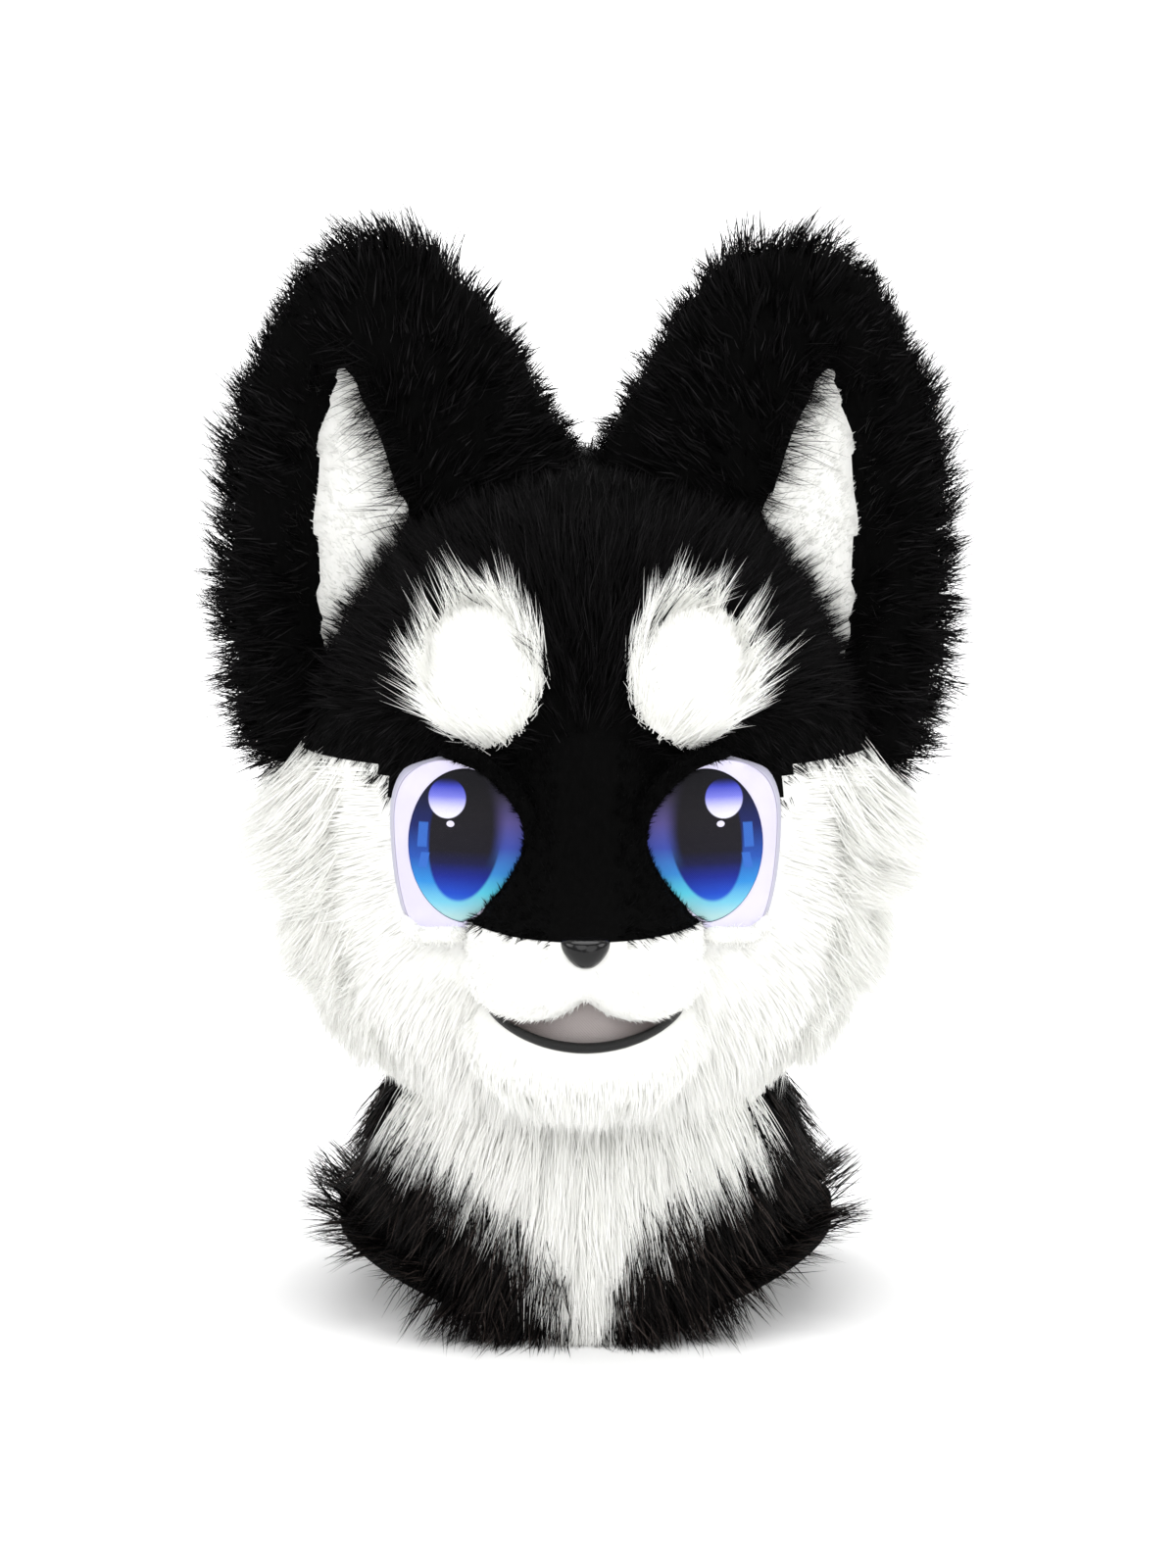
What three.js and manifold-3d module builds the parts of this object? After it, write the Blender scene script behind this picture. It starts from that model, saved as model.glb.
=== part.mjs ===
// Costume animal head: padded black and white fur shells, tall ears, domed mesh eyes,
// a short muzzle with an open mouth, and a fur neck that stands on its hem.
// Millimetres. +Z is up, the face looks along -Y, and "left" is the side at -X.
import * as THREE from 'three';
import { mergeVertices } from 'three/addons/utils/BufferGeometryUtils.js';
import Module from 'manifold-3d';

const wasm = await Module();
wasm.setup();

// Head shell
const HEAD_WIDTH = 260;
const FACE_DEPTH = 118; // middle of the head to the front of the face
const BACK_DEPTH = 120; // middle of the head to its back
const WAIST_HEIGHT = 96; // floor to the narrowest place of the neck
const CROWN_HEIGHT = 366; // floor to the top of the head
const HEAD_WALL = 14;
const SIDE_SEAM_DEPTH = 34; // where the white cheek ends behind the middle
const CLEARANCE = 0.3; // between pieces that touch

// Neck
const HEM_WIDTH = 218;
const HEM_FRONT = 106;
const HEM_BACK = 98;
const NECK_WALL = 10;
const HEM_ARCH_LENGTH = 160; // the hem lifts at the sides, over the shoulders
const HEM_ARCH_HEIGHT = 26;

// Snout
const SNOUT_REACH = 178; // middle of the head to the tip of the muzzle
const SNOUT_WIDTH = 108;
const SNOUT_ROOT = 70; // middle of the head to the root of the snout
const MUZZLE_HEIGHT = 157; // floor to the flat under the snout, between the puffs
const MUZZLE_SEAM_RISE = 25; // from there up to where the black pile meets the white pile
const PUFF_SPACING = 44;
const PUFF_RADIUS = 30;
const PUFF_DEPTH = 40;
const PUFF_DROP = 20;

// Mouth
const JAW_WIDTH = 98;
const JAW_SETBACK = 15; // the jaw ends this far behind the tip of the muzzle
const JAW_DROP = 26; // flat under the snout down to the middle of the jaw
const JAW_THICKNESS = 56;
const LIP_RADIUS = 2.3;
const LIP_DROP = 21; // flat under the snout down to the lip in the middle
const SMILE_RISE = 18; // the ends of the lip above its middle
const MOUTH_RECESS = 14; // from the lip back to the mouth cloth

// Nose
const NOSE_WIDTH = 22;
const NOSE_HEIGHT = 14;
const NOSE_DEPTH = 15;
const NOSE_TAPER = 0.45; // how much narrower it is at the bottom
const NOSE_SHOULDER = 0.45; // above this share of its half height it is flattened
const NOSE_DROP = 2; // its middle below the seam of the muzzle
const NOSE_PROUD = 4.5; // its middle in front of the muzzle

// Eyes
const EYE_WIDTH = 57;
const EYE_HEIGHT = 70;
const EYE_SPACING = 103;
const EYE_CENTRE_HEIGHT = 213;
const EYE_CENTRE_DEPTH = 119; // middle of the head to the front of the eye bowl
const EYE_YAW = 18 * Math.PI / 180;
const EYE_FLARE = 5.5;
const EYE_BEND_DEPTH = 0.55; // where the side of the bowl bends, as a share of its rise
const EYE_BEND_FLARE = 0.75; // and how much of its flare it has there
const EYE_RISE = 9; // the front of the bowl above its flared foot
const EYE_FOOT = 15; // the straight foot that sits in the head
const EYE_RIM = 1.6; // least white left round the mesh
const IRIS_WIDTH = 52;
const IRIS_HEIGHT = 64.5;
const IRIS_SHIFT = 0.1; // towards the nose, as a share of half the eye's width
const IRIS_DOME = 3.2;
const IRIS_SWELL = 20; // half depth of the ball that the mesh is cut from
const MESH_THICKNESS = 1.6;

// Brow spots
const SPOT_WIDTH = 47;
const SPOT_HEIGHT = 62;
const SPOT_THICKNESS = 15;
const SPOT_SPACING = 85;
const SPOT_RISE = 69; // middle of an eye to the middle of its brow spot
const SPOT_TILT = 24 * Math.PI / 180;
const FRINGE_COUNT = 5;
const FRINGE_SEAT = 0.36; // how far out the fringe's roots sit, as a share of the spot

// Ears
const EAR_REACH = 152; // middle of the head to the outer edge of an ear
const EAR_WIDTH = 148;
const EAR_BASE_HEIGHT = 234;
const BROW_SEAM_RISE = 2; // the white cheek ends this far above the foot of the ear
const EAR_HEIGHT = 221;
const EAR_THICKNESS = 52;
const EAR_TIP_THICKNESS = 34;
const EAR_OFFSET = 12; // the ear plate's middle in front of the head's middle
const LINING_WIDTH = 45;
const LINING_HEIGHT = 138;
const LINING_INSET = 0.22; // outer edge of the ear to the lining, as a share of the ear's width
const LINING_RISE = 0.165; // foot of the ear to the lining, as a share of the ear's height
const LINING_RECESS = 9;
const LINING_THICKNESS = 6;

// Fur
const EAR_LOCK = 18;
const CHEEK_LOCK = 44;
const NECK_LOCK = 30;
const BIB_LOCK = 28;
const HOOD_LOCK = 24;
const SPOT_LOCK = 20;
const LOCK_SINK = 5; // how deep a lock's root sits in its backing
const LOCK_SWELL = 0.35; // how much wider a lock is half way along
const LOCK_FLATNESS = 0.5; // a lock's thickness against its width
const LOCK_DROOP = 0.12; // how far its tip hangs, as a share of its length
const LOCK_STRAY = 0.12; // how unevenly the locks point
const LOCK_UNEVENNESS = 0.15; // and how unevenly long they are
const CHEEK_LEAN = 0.18; // how far a cheek lock turns away from the side
const CHEEK_SLIMNESS = 0.36; // its radius against its length
const EAR_SLIMNESS = 0.42;
const FRINGE_SLIMNESS = 0.24;
const EAR_LOCK_COUNT = 21;
const EAR_LOCK_START = 0.02; // where they start round the ear's rim
const EAR_LOCK_SPAN = 0.76; // and how much of the rim they follow

// Resolution
const HEAD_COLUMNS = 24;
const HOLLOW_COLUMNS = 16;
const SNOUT_COLUMNS = 16;
const OUTLINE_COLUMNS = 24;
const BALL_COLUMNS = 14;
const MESH_COLUMNS = 22;
const MESH_ROWS = 12;
const LIP_STEPS = 16;
const BALL_ROWS = 8;
const PLAN_ROUNDNESS = 2.15; // 2 is an ellipse, more is squarer

// Head sections from the waist up; width, front and back are shares of the named sizes.
const HEAD_SECTIONS = [
  { height: 0.0, width: 0.66, front: 0.72, back: 0.64 },
  { height: 0.06, width: 0.78, front: 0.83, back: 0.76 },
  { height: 0.126, width: 0.89, front: 0.92, back: 0.88 },
  { height: 0.207, width: 0.965, front: 0.965, back: 0.95 },
  { height: 0.31, width: 1.0, front: 0.99, back: 1.0 },
  { height: 0.42, width: 1.0, front: 1.0, back: 1.03 },
  { height: 0.533, width: 0.975, front: 0.985, back: 1.04 },
  { height: 0.644, width: 0.91, front: 0.94, back: 1.01 },
  { height: 0.755, width: 0.785, front: 0.83, back: 0.93 },
  { height: 0.848, width: 0.67, front: 0.69, back: 0.8 },
  { height: 0.922, width: 0.53, front: 0.52, back: 0.64 },
  { height: 0.972, width: 0.36, front: 0.34, back: 0.44 },
  { height: 1.0, width: 0.16, front: 0.15, back: 0.2 },
];

// Neck sections: flare runs from 0 at the waist to 1 at the hem.
const NECK_SECTIONS = [
  { height: 0.0, flare: 1.0 },
  { height: 0.16, flare: 0.84 },
  { height: 0.42, flare: 0.46 },
  { height: 0.73, flare: 0.14 },
  { height: 1.0, flare: 0.0 },
];

// Snout profile from the flat under it up to the brow; front runs from 0 at the root to 1 at the tip.
const SNOUT_SECTIONS = [
  { height: 0.0, width: 0.6, front: 0.86 },
  { height: 0.04, width: 0.86, front: 0.95 },
  { height: 0.09, width: 0.98, front: 0.985 },
  { height: 0.16, width: 1.0, front: 0.985 },
  { height: 0.2, width: 1.0, front: 0.95 },
  { height: 0.28, width: 1.0, front: 0.83 },
  { height: 0.39, width: 0.96, front: 0.7 },
  { height: 0.55, width: 0.97, front: 0.6 },
  { height: 0.71, width: 0.92, front: 0.51 },
  { height: 0.87, width: 0.8, front: 0.38 },
  { height: 1.0, width: 0.55, front: 0.22 },
];

// Eye outline, outer edge at across -1, inner edge at 1, bottom at up -1 and top at 1.
const EYE_OUTLINE = [
  { across: -1.0, up: 0.2 },
  { across: -0.94, up: 0.6 },
  { across: -0.72, up: 0.86 },
  { across: -0.4, up: 0.99 },
  { across: 0.0, up: 0.995 },
  { across: 0.35, up: 0.88 },
  { across: 0.68, up: 0.66 },
  { across: 0.92, up: 0.4 },
  { across: 1.0, up: 0.14 },
  { across: 0.93, up: -0.12 },
  { across: 0.72, up: -0.42 },
  { across: 0.42, up: -0.7 },
  { across: 0.08, up: -0.94 },
  { across: -0.34, up: -1.0 },
  { across: -0.72, up: -0.96 },
  { across: -0.92, up: -0.5 },
];

// Ear outline, outer edge at across 0, inner edge at 1, foot at up 0 and tip at 1.
const EAR_OUTLINE = [
  { across: 0.13, up: 0.0 },
  { across: 0.05, up: 0.1 },
  { across: 0.01, up: 0.22 },
  { across: 0.0, up: 0.36 },
  { across: 0.01, up: 0.52 },
  { across: 0.04, up: 0.68 },
  { across: 0.11, up: 0.83 },
  { across: 0.21, up: 0.94 },
  { across: 0.34, up: 0.99 },
  { across: 0.48, up: 1.0 },
  { across: 0.62, up: 0.96 },
  { across: 0.74, up: 0.88 },
  { across: 0.83, up: 0.78 },
  { across: 0.92, up: 0.68 },
  { across: 0.99, up: 0.57 },
  { across: 0.9, up: 0.42 },
  { across: 0.66, up: 0.24 },
  { across: 0.34, up: 0.03 },
];

// Inner ear outline on the same terms, outer edge at across 0 and point at up 1.
const LINING_OUTLINE = [
  { across: 0.2, up: 0.0 },
  { across: 0.06, up: 0.16 },
  { across: 0.0, up: 0.4 },
  { across: 0.02, up: 0.64 },
  { across: 0.1, up: 0.84 },
  { across: 0.32, up: 1.0 },
  { across: 0.58, up: 0.9 },
  { across: 0.82, up: 0.7 },
  { across: 1.0, up: 0.47 },
  { across: 0.84, up: 0.28 },
  { across: 0.5, up: 0.1 },
];

// Bib outline, a half: across from the middle to the waist's side, up from the hem to the waist.
const BIB_OUTLINE = [
  { across: 0.06, up: 0.0 },
  { across: 0.15, up: 0.25 },
  { across: 0.26, up: 0.44 },
  { across: 0.48, up: 0.61 },
  { across: 0.86, up: 0.82 },
  { across: 1.06, up: 1.0 },
];

// Cheek locks: turn is degrees in front of the side, height above the floor as a share of the crown's,
// size a share of the cheek lock, drop how far it points down.
// The other locks stand in level rows: height is a share of the waist's, from and to are the turns
// in degrees between which count locks are spread, and slim is their radius against their length.
const CHEEK_LOCKS = [
  { turn: -8, height: 0.6, size: 0.7, drop: 0.35 },
  { turn: 8, height: 0.57, size: 0.85, drop: 0.35 },
  { turn: -6, height: 0.53, size: 1.0, drop: 0.45 },
  { turn: 16, height: 0.51, size: 0.75, drop: 0.6 },
  { turn: -4, height: 0.46, size: 0.62, drop: 0.6 },
  { turn: 10, height: 0.43, size: 0.85, drop: 0.7 },
  { turn: -8, height: 0.41, size: 1.0, drop: 0.7 },
  { turn: 22, height: 0.38, size: 0.7, drop: 1.0 },
  { turn: 4, height: 0.35, size: 0.75, drop: 1.1 },
  { turn: -6, height: 0.32, size: 0.6, drop: 1.2 },
];

const THROAT_LOCKS = [
  { height: 1.16, from: -148, to: -32, count: 9, size: 1.0, out: 0.55, down: 1, slim: 0.3 },
];

const HOOD_LOCKS = [
  { height: 1.2, from: 28, to: 152, count: 8, size: 1.0, out: 0.5, down: 1, slim: 0.4 },
  { height: 1.75, from: 36, to: 144, count: 7, size: 1.0, out: 0.5, down: 1, slim: 0.4 },
  { height: 2.4, from: 42, to: 138, count: 6, size: 1.0, out: 0.5, down: 1, slim: 0.4 },
  { height: 3.05, from: 52, to: 128, count: 5, size: 0.9, out: 0.6, down: 0.9, slim: 0.4 },
];

const NECK_LOCKS = [
  { height: 0.78, from: -30, to: 210, count: 12, size: 0.9, out: 0.9, down: 0.8, slim: 0.3 },
  { height: 0.5, from: -44, to: 224, count: 15, size: 1.0, out: 0.95, down: 0.65, slim: 0.3 },
  { height: 0.29, from: -66, to: 246, count: 18, size: 0.9, out: 1.0, down: 0.5, slim: 0.3 },
];

const BIB_LOCKS = [
  { height: 0.74, from: -126, to: -54, count: 5, size: 1.0, out: 0.5, down: 1, slim: 0.28 },
  { height: 0.5, from: -104, to: -76, count: 3, size: 1.0, out: 0.5, down: 1, slim: 0.28 },
  { height: 0.28, from: -96, to: -84, count: 2, size: 0.8, out: 0.5, down: 1, slim: 0.28 },
];

// The ear's rim is rolled: share runs across its thickness, inset is a share of the thickness.
const EAR_RIM = [
  { share: 1.0, inset: 0.32 },
  { share: 0.78, inset: 0.12 },
  { share: 0.3, inset: 0.0 },
  { share: -0.3, inset: 0.0 },
  { share: -0.78, inset: 0.12 },
  { share: -1.0, inset: 0.32 },
];

// Sizes that follow from those above
const WAIST_SIDE = HEAD_SECTIONS[0].width * HEAD_WIDTH / 2;
const BROW_SEAM_HEIGHT = EAR_BASE_HEIGHT + BROW_SEAM_RISE;
const MUZZLE_SEAM_HEIGHT = MUZZLE_HEIGHT + MUZZLE_SEAM_RISE;
const JAW_HEIGHT = MUZZLE_HEIGHT - JAW_DROP;
const JAW_ROOT = FACE_DEPTH - HEAD_WALL / 2;
const JAW_LENGTH = SNOUT_REACH - JAW_SETBACK - JAW_ROOT;
const SMILE_LOW = MUZZLE_HEIGHT - LIP_DROP;
const SPOT_CENTRE_HEIGHT = EYE_CENTRE_HEIGHT + SPOT_RISE;
const BROW_TOP = EYE_CENTRE_HEIGHT + EYE_HEIGHT / 2 + 2 * SPOT_THICKNESS;

const BLACK_FUR = new THREE.MeshStandardMaterial({ color: 0x0b0a0b, roughness: 0.85, metalness: 0 });
const BLACK_PILE = new THREE.MeshStandardMaterial({ color: 0x060606, roughness: 0.95, metalness: 0 });
const WHITE_FUR = new THREE.MeshStandardMaterial({ color: 0xf5f5f0, roughness: 0.9, metalness: 0 });
const WHITE_PILE = new THREE.MeshStandardMaterial({ color: 0xf2f2ef, roughness: 0.95, metalness: 0 });
const EYE_PLASTIC = new THREE.MeshStandardMaterial({ color: 0xe8e3f5, roughness: 0.45, metalness: 0 });
const EYE_MESH = new THREE.MeshStandardMaterial({ color: 0x2f4f9e, roughness: 0.6, metalness: 0 });
const NOSE_PLASTIC = new THREE.MeshStandardMaterial({ color: 0x191919, roughness: 0.15, metalness: 0 });
const LIP_LEATHER = new THREE.MeshStandardMaterial({ color: 0x1c1d1c, roughness: 0.35, metalness: 0 });
const MOUTH_CLOTH = new THREE.MeshStandardMaterial({ color: 0x847a78, roughness: 0.9, metalness: 0 });

// Solids

// A closed geometry as a solid that can be joined and cut.
function toSolid(geometry) {
  const bare = geometry.clone();
  bare.deleteAttribute('normal');
  bare.deleteAttribute('uv');
  const merged = mergeVertices(bare, 1e-4);
  return new wasm.Manifold(new wasm.Mesh({
    numProp: 3,
    vertProperties: new Float32Array(merged.attributes.position.array),
    triVerts: new Uint32Array(merged.index.array),
  }));
}

// A named mesh of a solid, with its geometry kept about its own pivot.
function toMesh(name, solid, material, pivot) {
  const made = solid.translate([-pivot.x, -pivot.y, -pivot.z]).getMesh();
  const geometry = new THREE.BufferGeometry();
  geometry.setAttribute('position', new THREE.BufferAttribute(made.vertProperties, 3));
  geometry.setIndex(new THREE.BufferAttribute(made.triVerts, 1));
  const flat = geometry.toNonIndexed();
  flat.computeVertexNormals();
  const mesh = new THREE.Mesh(flat, material);
  mesh.name = name;
  mesh.position.copy(pivot);
  return mesh;
}

// A closed skin over rings of points: pointAt(row, share round, middle) places each one.
function skin(columns, rows, pointAt) {
  const geometry = new THREE.CylinderGeometry(1, 1, 1, columns, rows - 1);
  geometry.rotateX(Math.PI / 2);
  const position = geometry.attributes.position;
  for (let i = 0; i < position.count; i += 1) {
    const row = Math.round((position.getZ(i) + 0.5) * (rows - 1));
    const middle = Math.hypot(position.getX(i), position.getY(i)) < 0.5;
    const turn = Math.atan2(position.getY(i), position.getX(i)) / (2 * Math.PI);
    const column = Math.round((turn + 1) * columns) % columns;
    const point = pointAt(row, column / columns, middle);
    position.setXYZ(i, point.x, point.y, point.z);
  }
  return toSolid(geometry);
}

// A rounded plan: the point at an angle on a ring with its own half width, front and back.
function planPoint(ring, share) {
  const angle = share * 2 * Math.PI;
  const power = 2 / PLAN_ROUNDNESS;
  const side = Math.sign(Math.cos(angle)) * Math.abs(Math.cos(angle)) ** power;
  const depth = Math.sign(Math.sin(angle)) * Math.abs(Math.sin(angle)) ** power;
  const reach = depth < 0 ? ring.front : ring.back;
  return new THREE.Vector3(ring.side * side, ring.middle + reach * depth, ring.height);
}

// A solid over a stack of plan rings.
function loft(rings, columns) {
  return skin(columns, rings.length, (row, share, middle) => {
    const ring = rings[row];
    if (middle) {
      return new THREE.Vector3(0, ring.middle, ring.height);
    }
    return planPoint(ring, share);
  });
}

// The plan ring at any height of a stack, and the outward point on it.
function ringAt(rings, height) {
  const upper = Math.max(1, rings.findIndex((ring) => ring.height >= height));
  const low = rings[upper - 1];
  const high = rings[upper];
  const share = (height - low.height) / (high.height - low.height);
  const mix = (name) => low[name] + (high[name] - low[name]) * share;
  return { height, side: mix('side'), front: mix('front'), back: mix('back'), middle: mix('middle') };
}

function ellipsoid(centre, halves, columns, rows) {
  const geometry = new THREE.SphereGeometry(1, columns, rows);
  geometry.rotateX(Math.PI / 2);
  geometry.scale(halves.x, halves.y, halves.z);
  geometry.translate(centre.x, centre.y, centre.z);
  return toSolid(geometry);
}

// A closed outline in the XZ plane, smoothed through a table of shares.
function outlineCurve(table, place) {
  const points = table.map((row) => {
    const flat = place(row);
    return new THREE.Vector3(flat.x, 0, flat.z);
  });
  return new THREE.CatmullRomCurve3(points, true);
}

// Whether an outline runs round one way, 1, or the other, -1.
function outlineTurn(curve) {
  return Math.sign(THREE.ShapeUtils.area(curve.points.map((p) => new THREE.Vector2(p.x, p.z))));
}

// The point at a share of an outline, moved outwards by a distance.
function outlinePoint(curve, share, grow) {
  const point = curve.getPointAt(share % 1);
  const tangent = curve.getTangentAt(share % 1);
  const outward = new THREE.Vector3(tangent.z, 0, -tangent.x).multiplyScalar(outlineTurn(curve));
  return { point: point.addScaledVector(outward, grow), outward };
}

// A closed skin over layers that follow an outline, each grown by its own distance:
// depthAt(layer, point) gives its depth along Y.
function outlineSkin(curve, layers, columns, depthAt) {
  const turn = outlineTurn(curve);
  const centre = new THREE.Box3().setFromPoints(curve.points).getCenter(new THREE.Vector3());
  return skin(columns, layers.length, (row, share, middle) => {
    const layer = layers[row];
    const around = turn > 0 ? share : 1 - share;
    const flat = middle ? centre.clone() : outlinePoint(curve, around, layer.grow).point;
    return new THREE.Vector3(flat.x, depthAt(layer, flat), flat.z);
  });
}

// A plate with an outline, whose layers have depths of their own.
function plate(curve, layers, columns) {
  return outlineSkin(curve, layers, columns, (layer) => layer.depth);
}

// A straight prism along Y of an outline with corners, from the front depth to the back depth.
function prism(corners, front, back) {
  const shape = new THREE.Shape(corners.map((corner) => new THREE.Vector2(corner.x, corner.z)));
  const geometry = new THREE.ExtrudeGeometry(shape, { depth: back - front, bevelEnabled: false });
  geometry.rotateX(Math.PI / 2);
  geometry.translate(0, back, 0);
  return toSolid(geometry);
}

function block(low, high) {
  const geometry = new THREE.BoxGeometry(high.x - low.x, high.y - low.y, high.z - low.z);
  geometry.translate((low.x + high.x) / 2, (low.y + high.y) / 2, (low.z + high.z) / 2);
  return toSolid(geometry);
}

// Everything below a height, as wide as the whole object.
const FAR = 3 * CROWN_HEIGHT;

function below(height) {
  return block({ x: -FAR, y: -FAR, z: -FAR }, { x: FAR, y: FAR, z: height });
}

// Fur

const FORWARD = new THREE.Vector3(0, -1, 0);

// A pointed lock: a flat three-sided cone that swells, then bends as it goes, with one side to the face.
function lock(root, direction, face, length, radius, bend) {
  const geometry = new THREE.ConeGeometry(radius, length + LOCK_SINK, 3, 2);
  geometry.translate(0, (length + LOCK_SINK) / 2 - LOCK_SINK, 0);
  const position = geometry.attributes.position;
  const point = new THREE.Vector3();
  for (let i = 0; i < position.count; i += 1) {
    point.fromBufferAttribute(position, i);
    const share = Math.max(0, point.y / length);
    const swell = 1 + LOCK_SWELL * Math.sin(Math.PI * share);
    position.setXYZ(i, point.x * swell, point.y, point.z * swell * LOCK_FLATNESS);
  }
  const along = direction.clone().normalize();
  const across = new THREE.Vector3().crossVectors(along, face).normalize();
  const basis = new THREE.Matrix4().makeBasis(across, along, across.clone().cross(along));
  geometry.applyMatrix4(basis);
  for (let i = 0; i < position.count; i += 1) {
    point.fromBufferAttribute(position, i);
    const share = Math.max(0, point.dot(along) / length);
    point.addScaledVector(bend, share * share * length);
    position.setXYZ(i, point.x, point.y, point.z);
  }
  geometry.translate(root.x, root.y, root.z);
  return toSolid(geometry);
}

// An even scatter between -1 and 1 that is the same every time.
function scatter(seed) {
  const wave = Math.sin(seed * 12.9898 + 4.1414) * 43758.5453;
  return 2 * (wave - Math.floor(wave)) - 1;
}

// Evenly spread turns, in degrees, from one side to the other.
function turnsBetween(from, to, count) {
  return Array.from({ length: count }, (_, i) => from + (to - from) * i / (count - 1));
}

// Locks on a stack of plan rings, in the level rows of a table.
function locksOnRings(rings, rows, length) {
  const locks = [];
  for (const row of rows) {
    const ring = ringAt(rings, row.height * WAIST_HEIGHT);
    for (const turn of turnsBetween(row.from, row.to, row.count)) {
      const seed = 3 * locks.length;
      const share = turn / 360;
      const root = planPoint(ring, (share + 1) % 1);
      const outward = new THREE.Vector3(Math.cos(share * 2 * Math.PI), Math.sin(share * 2 * Math.PI), 0);
      const direction = outward.clone().multiplyScalar(row.out);
      direction.z = -row.down;
      direction.x += LOCK_STRAY * scatter(seed);
      direction.y += LOCK_STRAY * scatter(seed + 1);
      const size = length * row.size * (1 + LOCK_UNEVENNESS * scatter(seed + 2));
      const bend = new THREE.Vector3(0, 0, -LOCK_DROOP);
      locks.push(lock(root, direction, outward, size, size * row.slim, bend));
    }
  }
  return locks;
}

function addAll(solid, pieces) {
  return pieces.reduce((sum, piece) => sum.add(piece), solid);
}

// Head shell and neck

// Plan rings of the head, grown or shrunk all round.
function headRings(grow) {
  const rise = CROWN_HEIGHT - WAIST_HEIGHT;
  return HEAD_SECTIONS.map((section) => ({
    height: WAIST_HEIGHT + (rise + grow) * section.height,
    side: Math.max(2, section.width * HEAD_WIDTH / 2 + grow),
    front: Math.max(2, section.front * FACE_DEPTH + grow),
    back: Math.max(2, section.back * BACK_DEPTH + grow),
    middle: 0,
  }));
}

// The head's hollow, run on down past the waist so that it is open there.
function headHollow() {
  const rings = headRings(-HEAD_WALL);
  const lowest = rings[0];
  return loft([{ ...lowest, height: lowest.height - HEAD_WALL }, ...rings], HOLLOW_COLUMNS);
}

function neckRings(grow) {
  const waist = HEAD_SECTIONS[0];
  const top = WAIST_HEIGHT - CLEARANCE;
  return NECK_SECTIONS.map((section) => {
    const mix = (narrow, wide) => narrow + (wide - narrow) * section.flare;
    return {
      height: top * section.height,
      side: mix(WAIST_SIDE, HEM_WIDTH / 2) + grow,
      front: mix(waist.front * FACE_DEPTH, HEM_FRONT) + grow,
      back: mix(waist.back * BACK_DEPTH, HEM_BACK) + grow,
      middle: 0,
    };
  });
}

// The neck's hollow, run on past both ends so that it is open there.
function neckHollow() {
  const rings = neckRings(-NECK_WALL);
  const ends = [
    { ...rings[0], height: -NECK_WALL },
    ...rings,
    { ...rings[rings.length - 1], height: WAIST_HEIGHT + NECK_WALL },
  ];
  return loft(ends, HOLLOW_COLUMNS);
}

function neckShell() {
  return loft(neckRings(0), HEAD_COLUMNS).subtract(neckHollow());
}

// The white part of the face as a prism: below the brow seam, outside it and down under the eyes.
function faceZone(grow) {
  const outer = EYE_SPACING / 2 + EYE_WIDTH / 2 + EYE_FLARE;
  const inner = EYE_SPACING / 2;
  const eyeTop = EYE_CENTRE_HEIGHT + EYE_HEIGHT / 2;
  const eyeFoot = EYE_CENTRE_HEIGHT - EYE_HEIGHT / 2;
  const half = [
    { x: FAR, z: BROW_SEAM_HEIGHT + grow },
    { x: outer, z: eyeTop - EYE_FLARE + grow },
    { x: inner, z: eyeFoot + 2 * grow },
    { x: 0, z: MUZZLE_SEAM_HEIGHT - CLEARANCE + grow },
  ];
  const mirrored = half.slice(0, -1).reverse().map((corner) => ({ x: -corner.x, z: corner.z }));
  const corners = [...half, ...mirrored, { x: -FAR, z: -FAR }, { x: FAR, z: -FAR }];
  return prism(corners, -FAR, SIDE_SEAM_DEPTH + grow);
}

// The arch under the hem at both sides.
function hemArch() {
  const geometry = new THREE.CylinderGeometry(1, 1, 2 * HEM_WIDTH, BALL_COLUMNS + 2);
  geometry.rotateZ(Math.PI / 2);
  geometry.scale(1, HEM_ARCH_LENGTH / 2, HEM_ARCH_HEIGHT);
  return toSolid(geometry);
}

// The V of the bib as a prism through the front of the neck.
function bibZone(grow) {
  const half = BIB_OUTLINE.map((row) => ({
    x: row.across * WAIST_SIDE + grow,
    z: row.up * WAIST_HEIGHT,
  }));
  half.unshift({ x: half[0].x, z: -FAR });
  half[half.length - 1].z = FAR;
  const mirrored = half.slice().reverse().map((corner) => ({ x: -corner.x, z: corner.z }));
  return prism([...half, ...mirrored], -FAR, -SIDE_SEAM_DEPTH + grow);
}

// Snout

function snoutRings(grow) {
  const rise = BROW_TOP - MUZZLE_HEIGHT;
  const last = SNOUT_SECTIONS.length - 1;
  return SNOUT_SECTIONS.map((section, i) => {
    const edge = (i === 0 ? -grow : 0) + (i === last ? grow : 0);
    return {
      height: MUZZLE_HEIGHT + rise * section.height + edge,
      side: section.width * SNOUT_WIDTH / 2 + grow,
      front: section.front * (SNOUT_REACH - SNOUT_ROOT) + grow,
      back: NECK_WALL,
      middle: -SNOUT_ROOT,
    };
  });
}

// The two puffs of the upper lip.
function puffs(grow) {
  const halves = { x: PUFF_RADIUS + grow, y: PUFF_DEPTH + grow, z: PUFF_DROP + grow };
  const pair = [-1, 1].map((side) => {
    const height = MUZZLE_HEIGHT + PUFF_DROP / 3;
    const centre = { x: side * PUFF_SPACING / 2, y: PUFF_DEPTH - SNOUT_REACH, z: height };
    return ellipsoid(centre, halves, BALL_COLUMNS, BALL_ROWS);
  });
  return pair[0].add(pair[1]);
}

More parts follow.
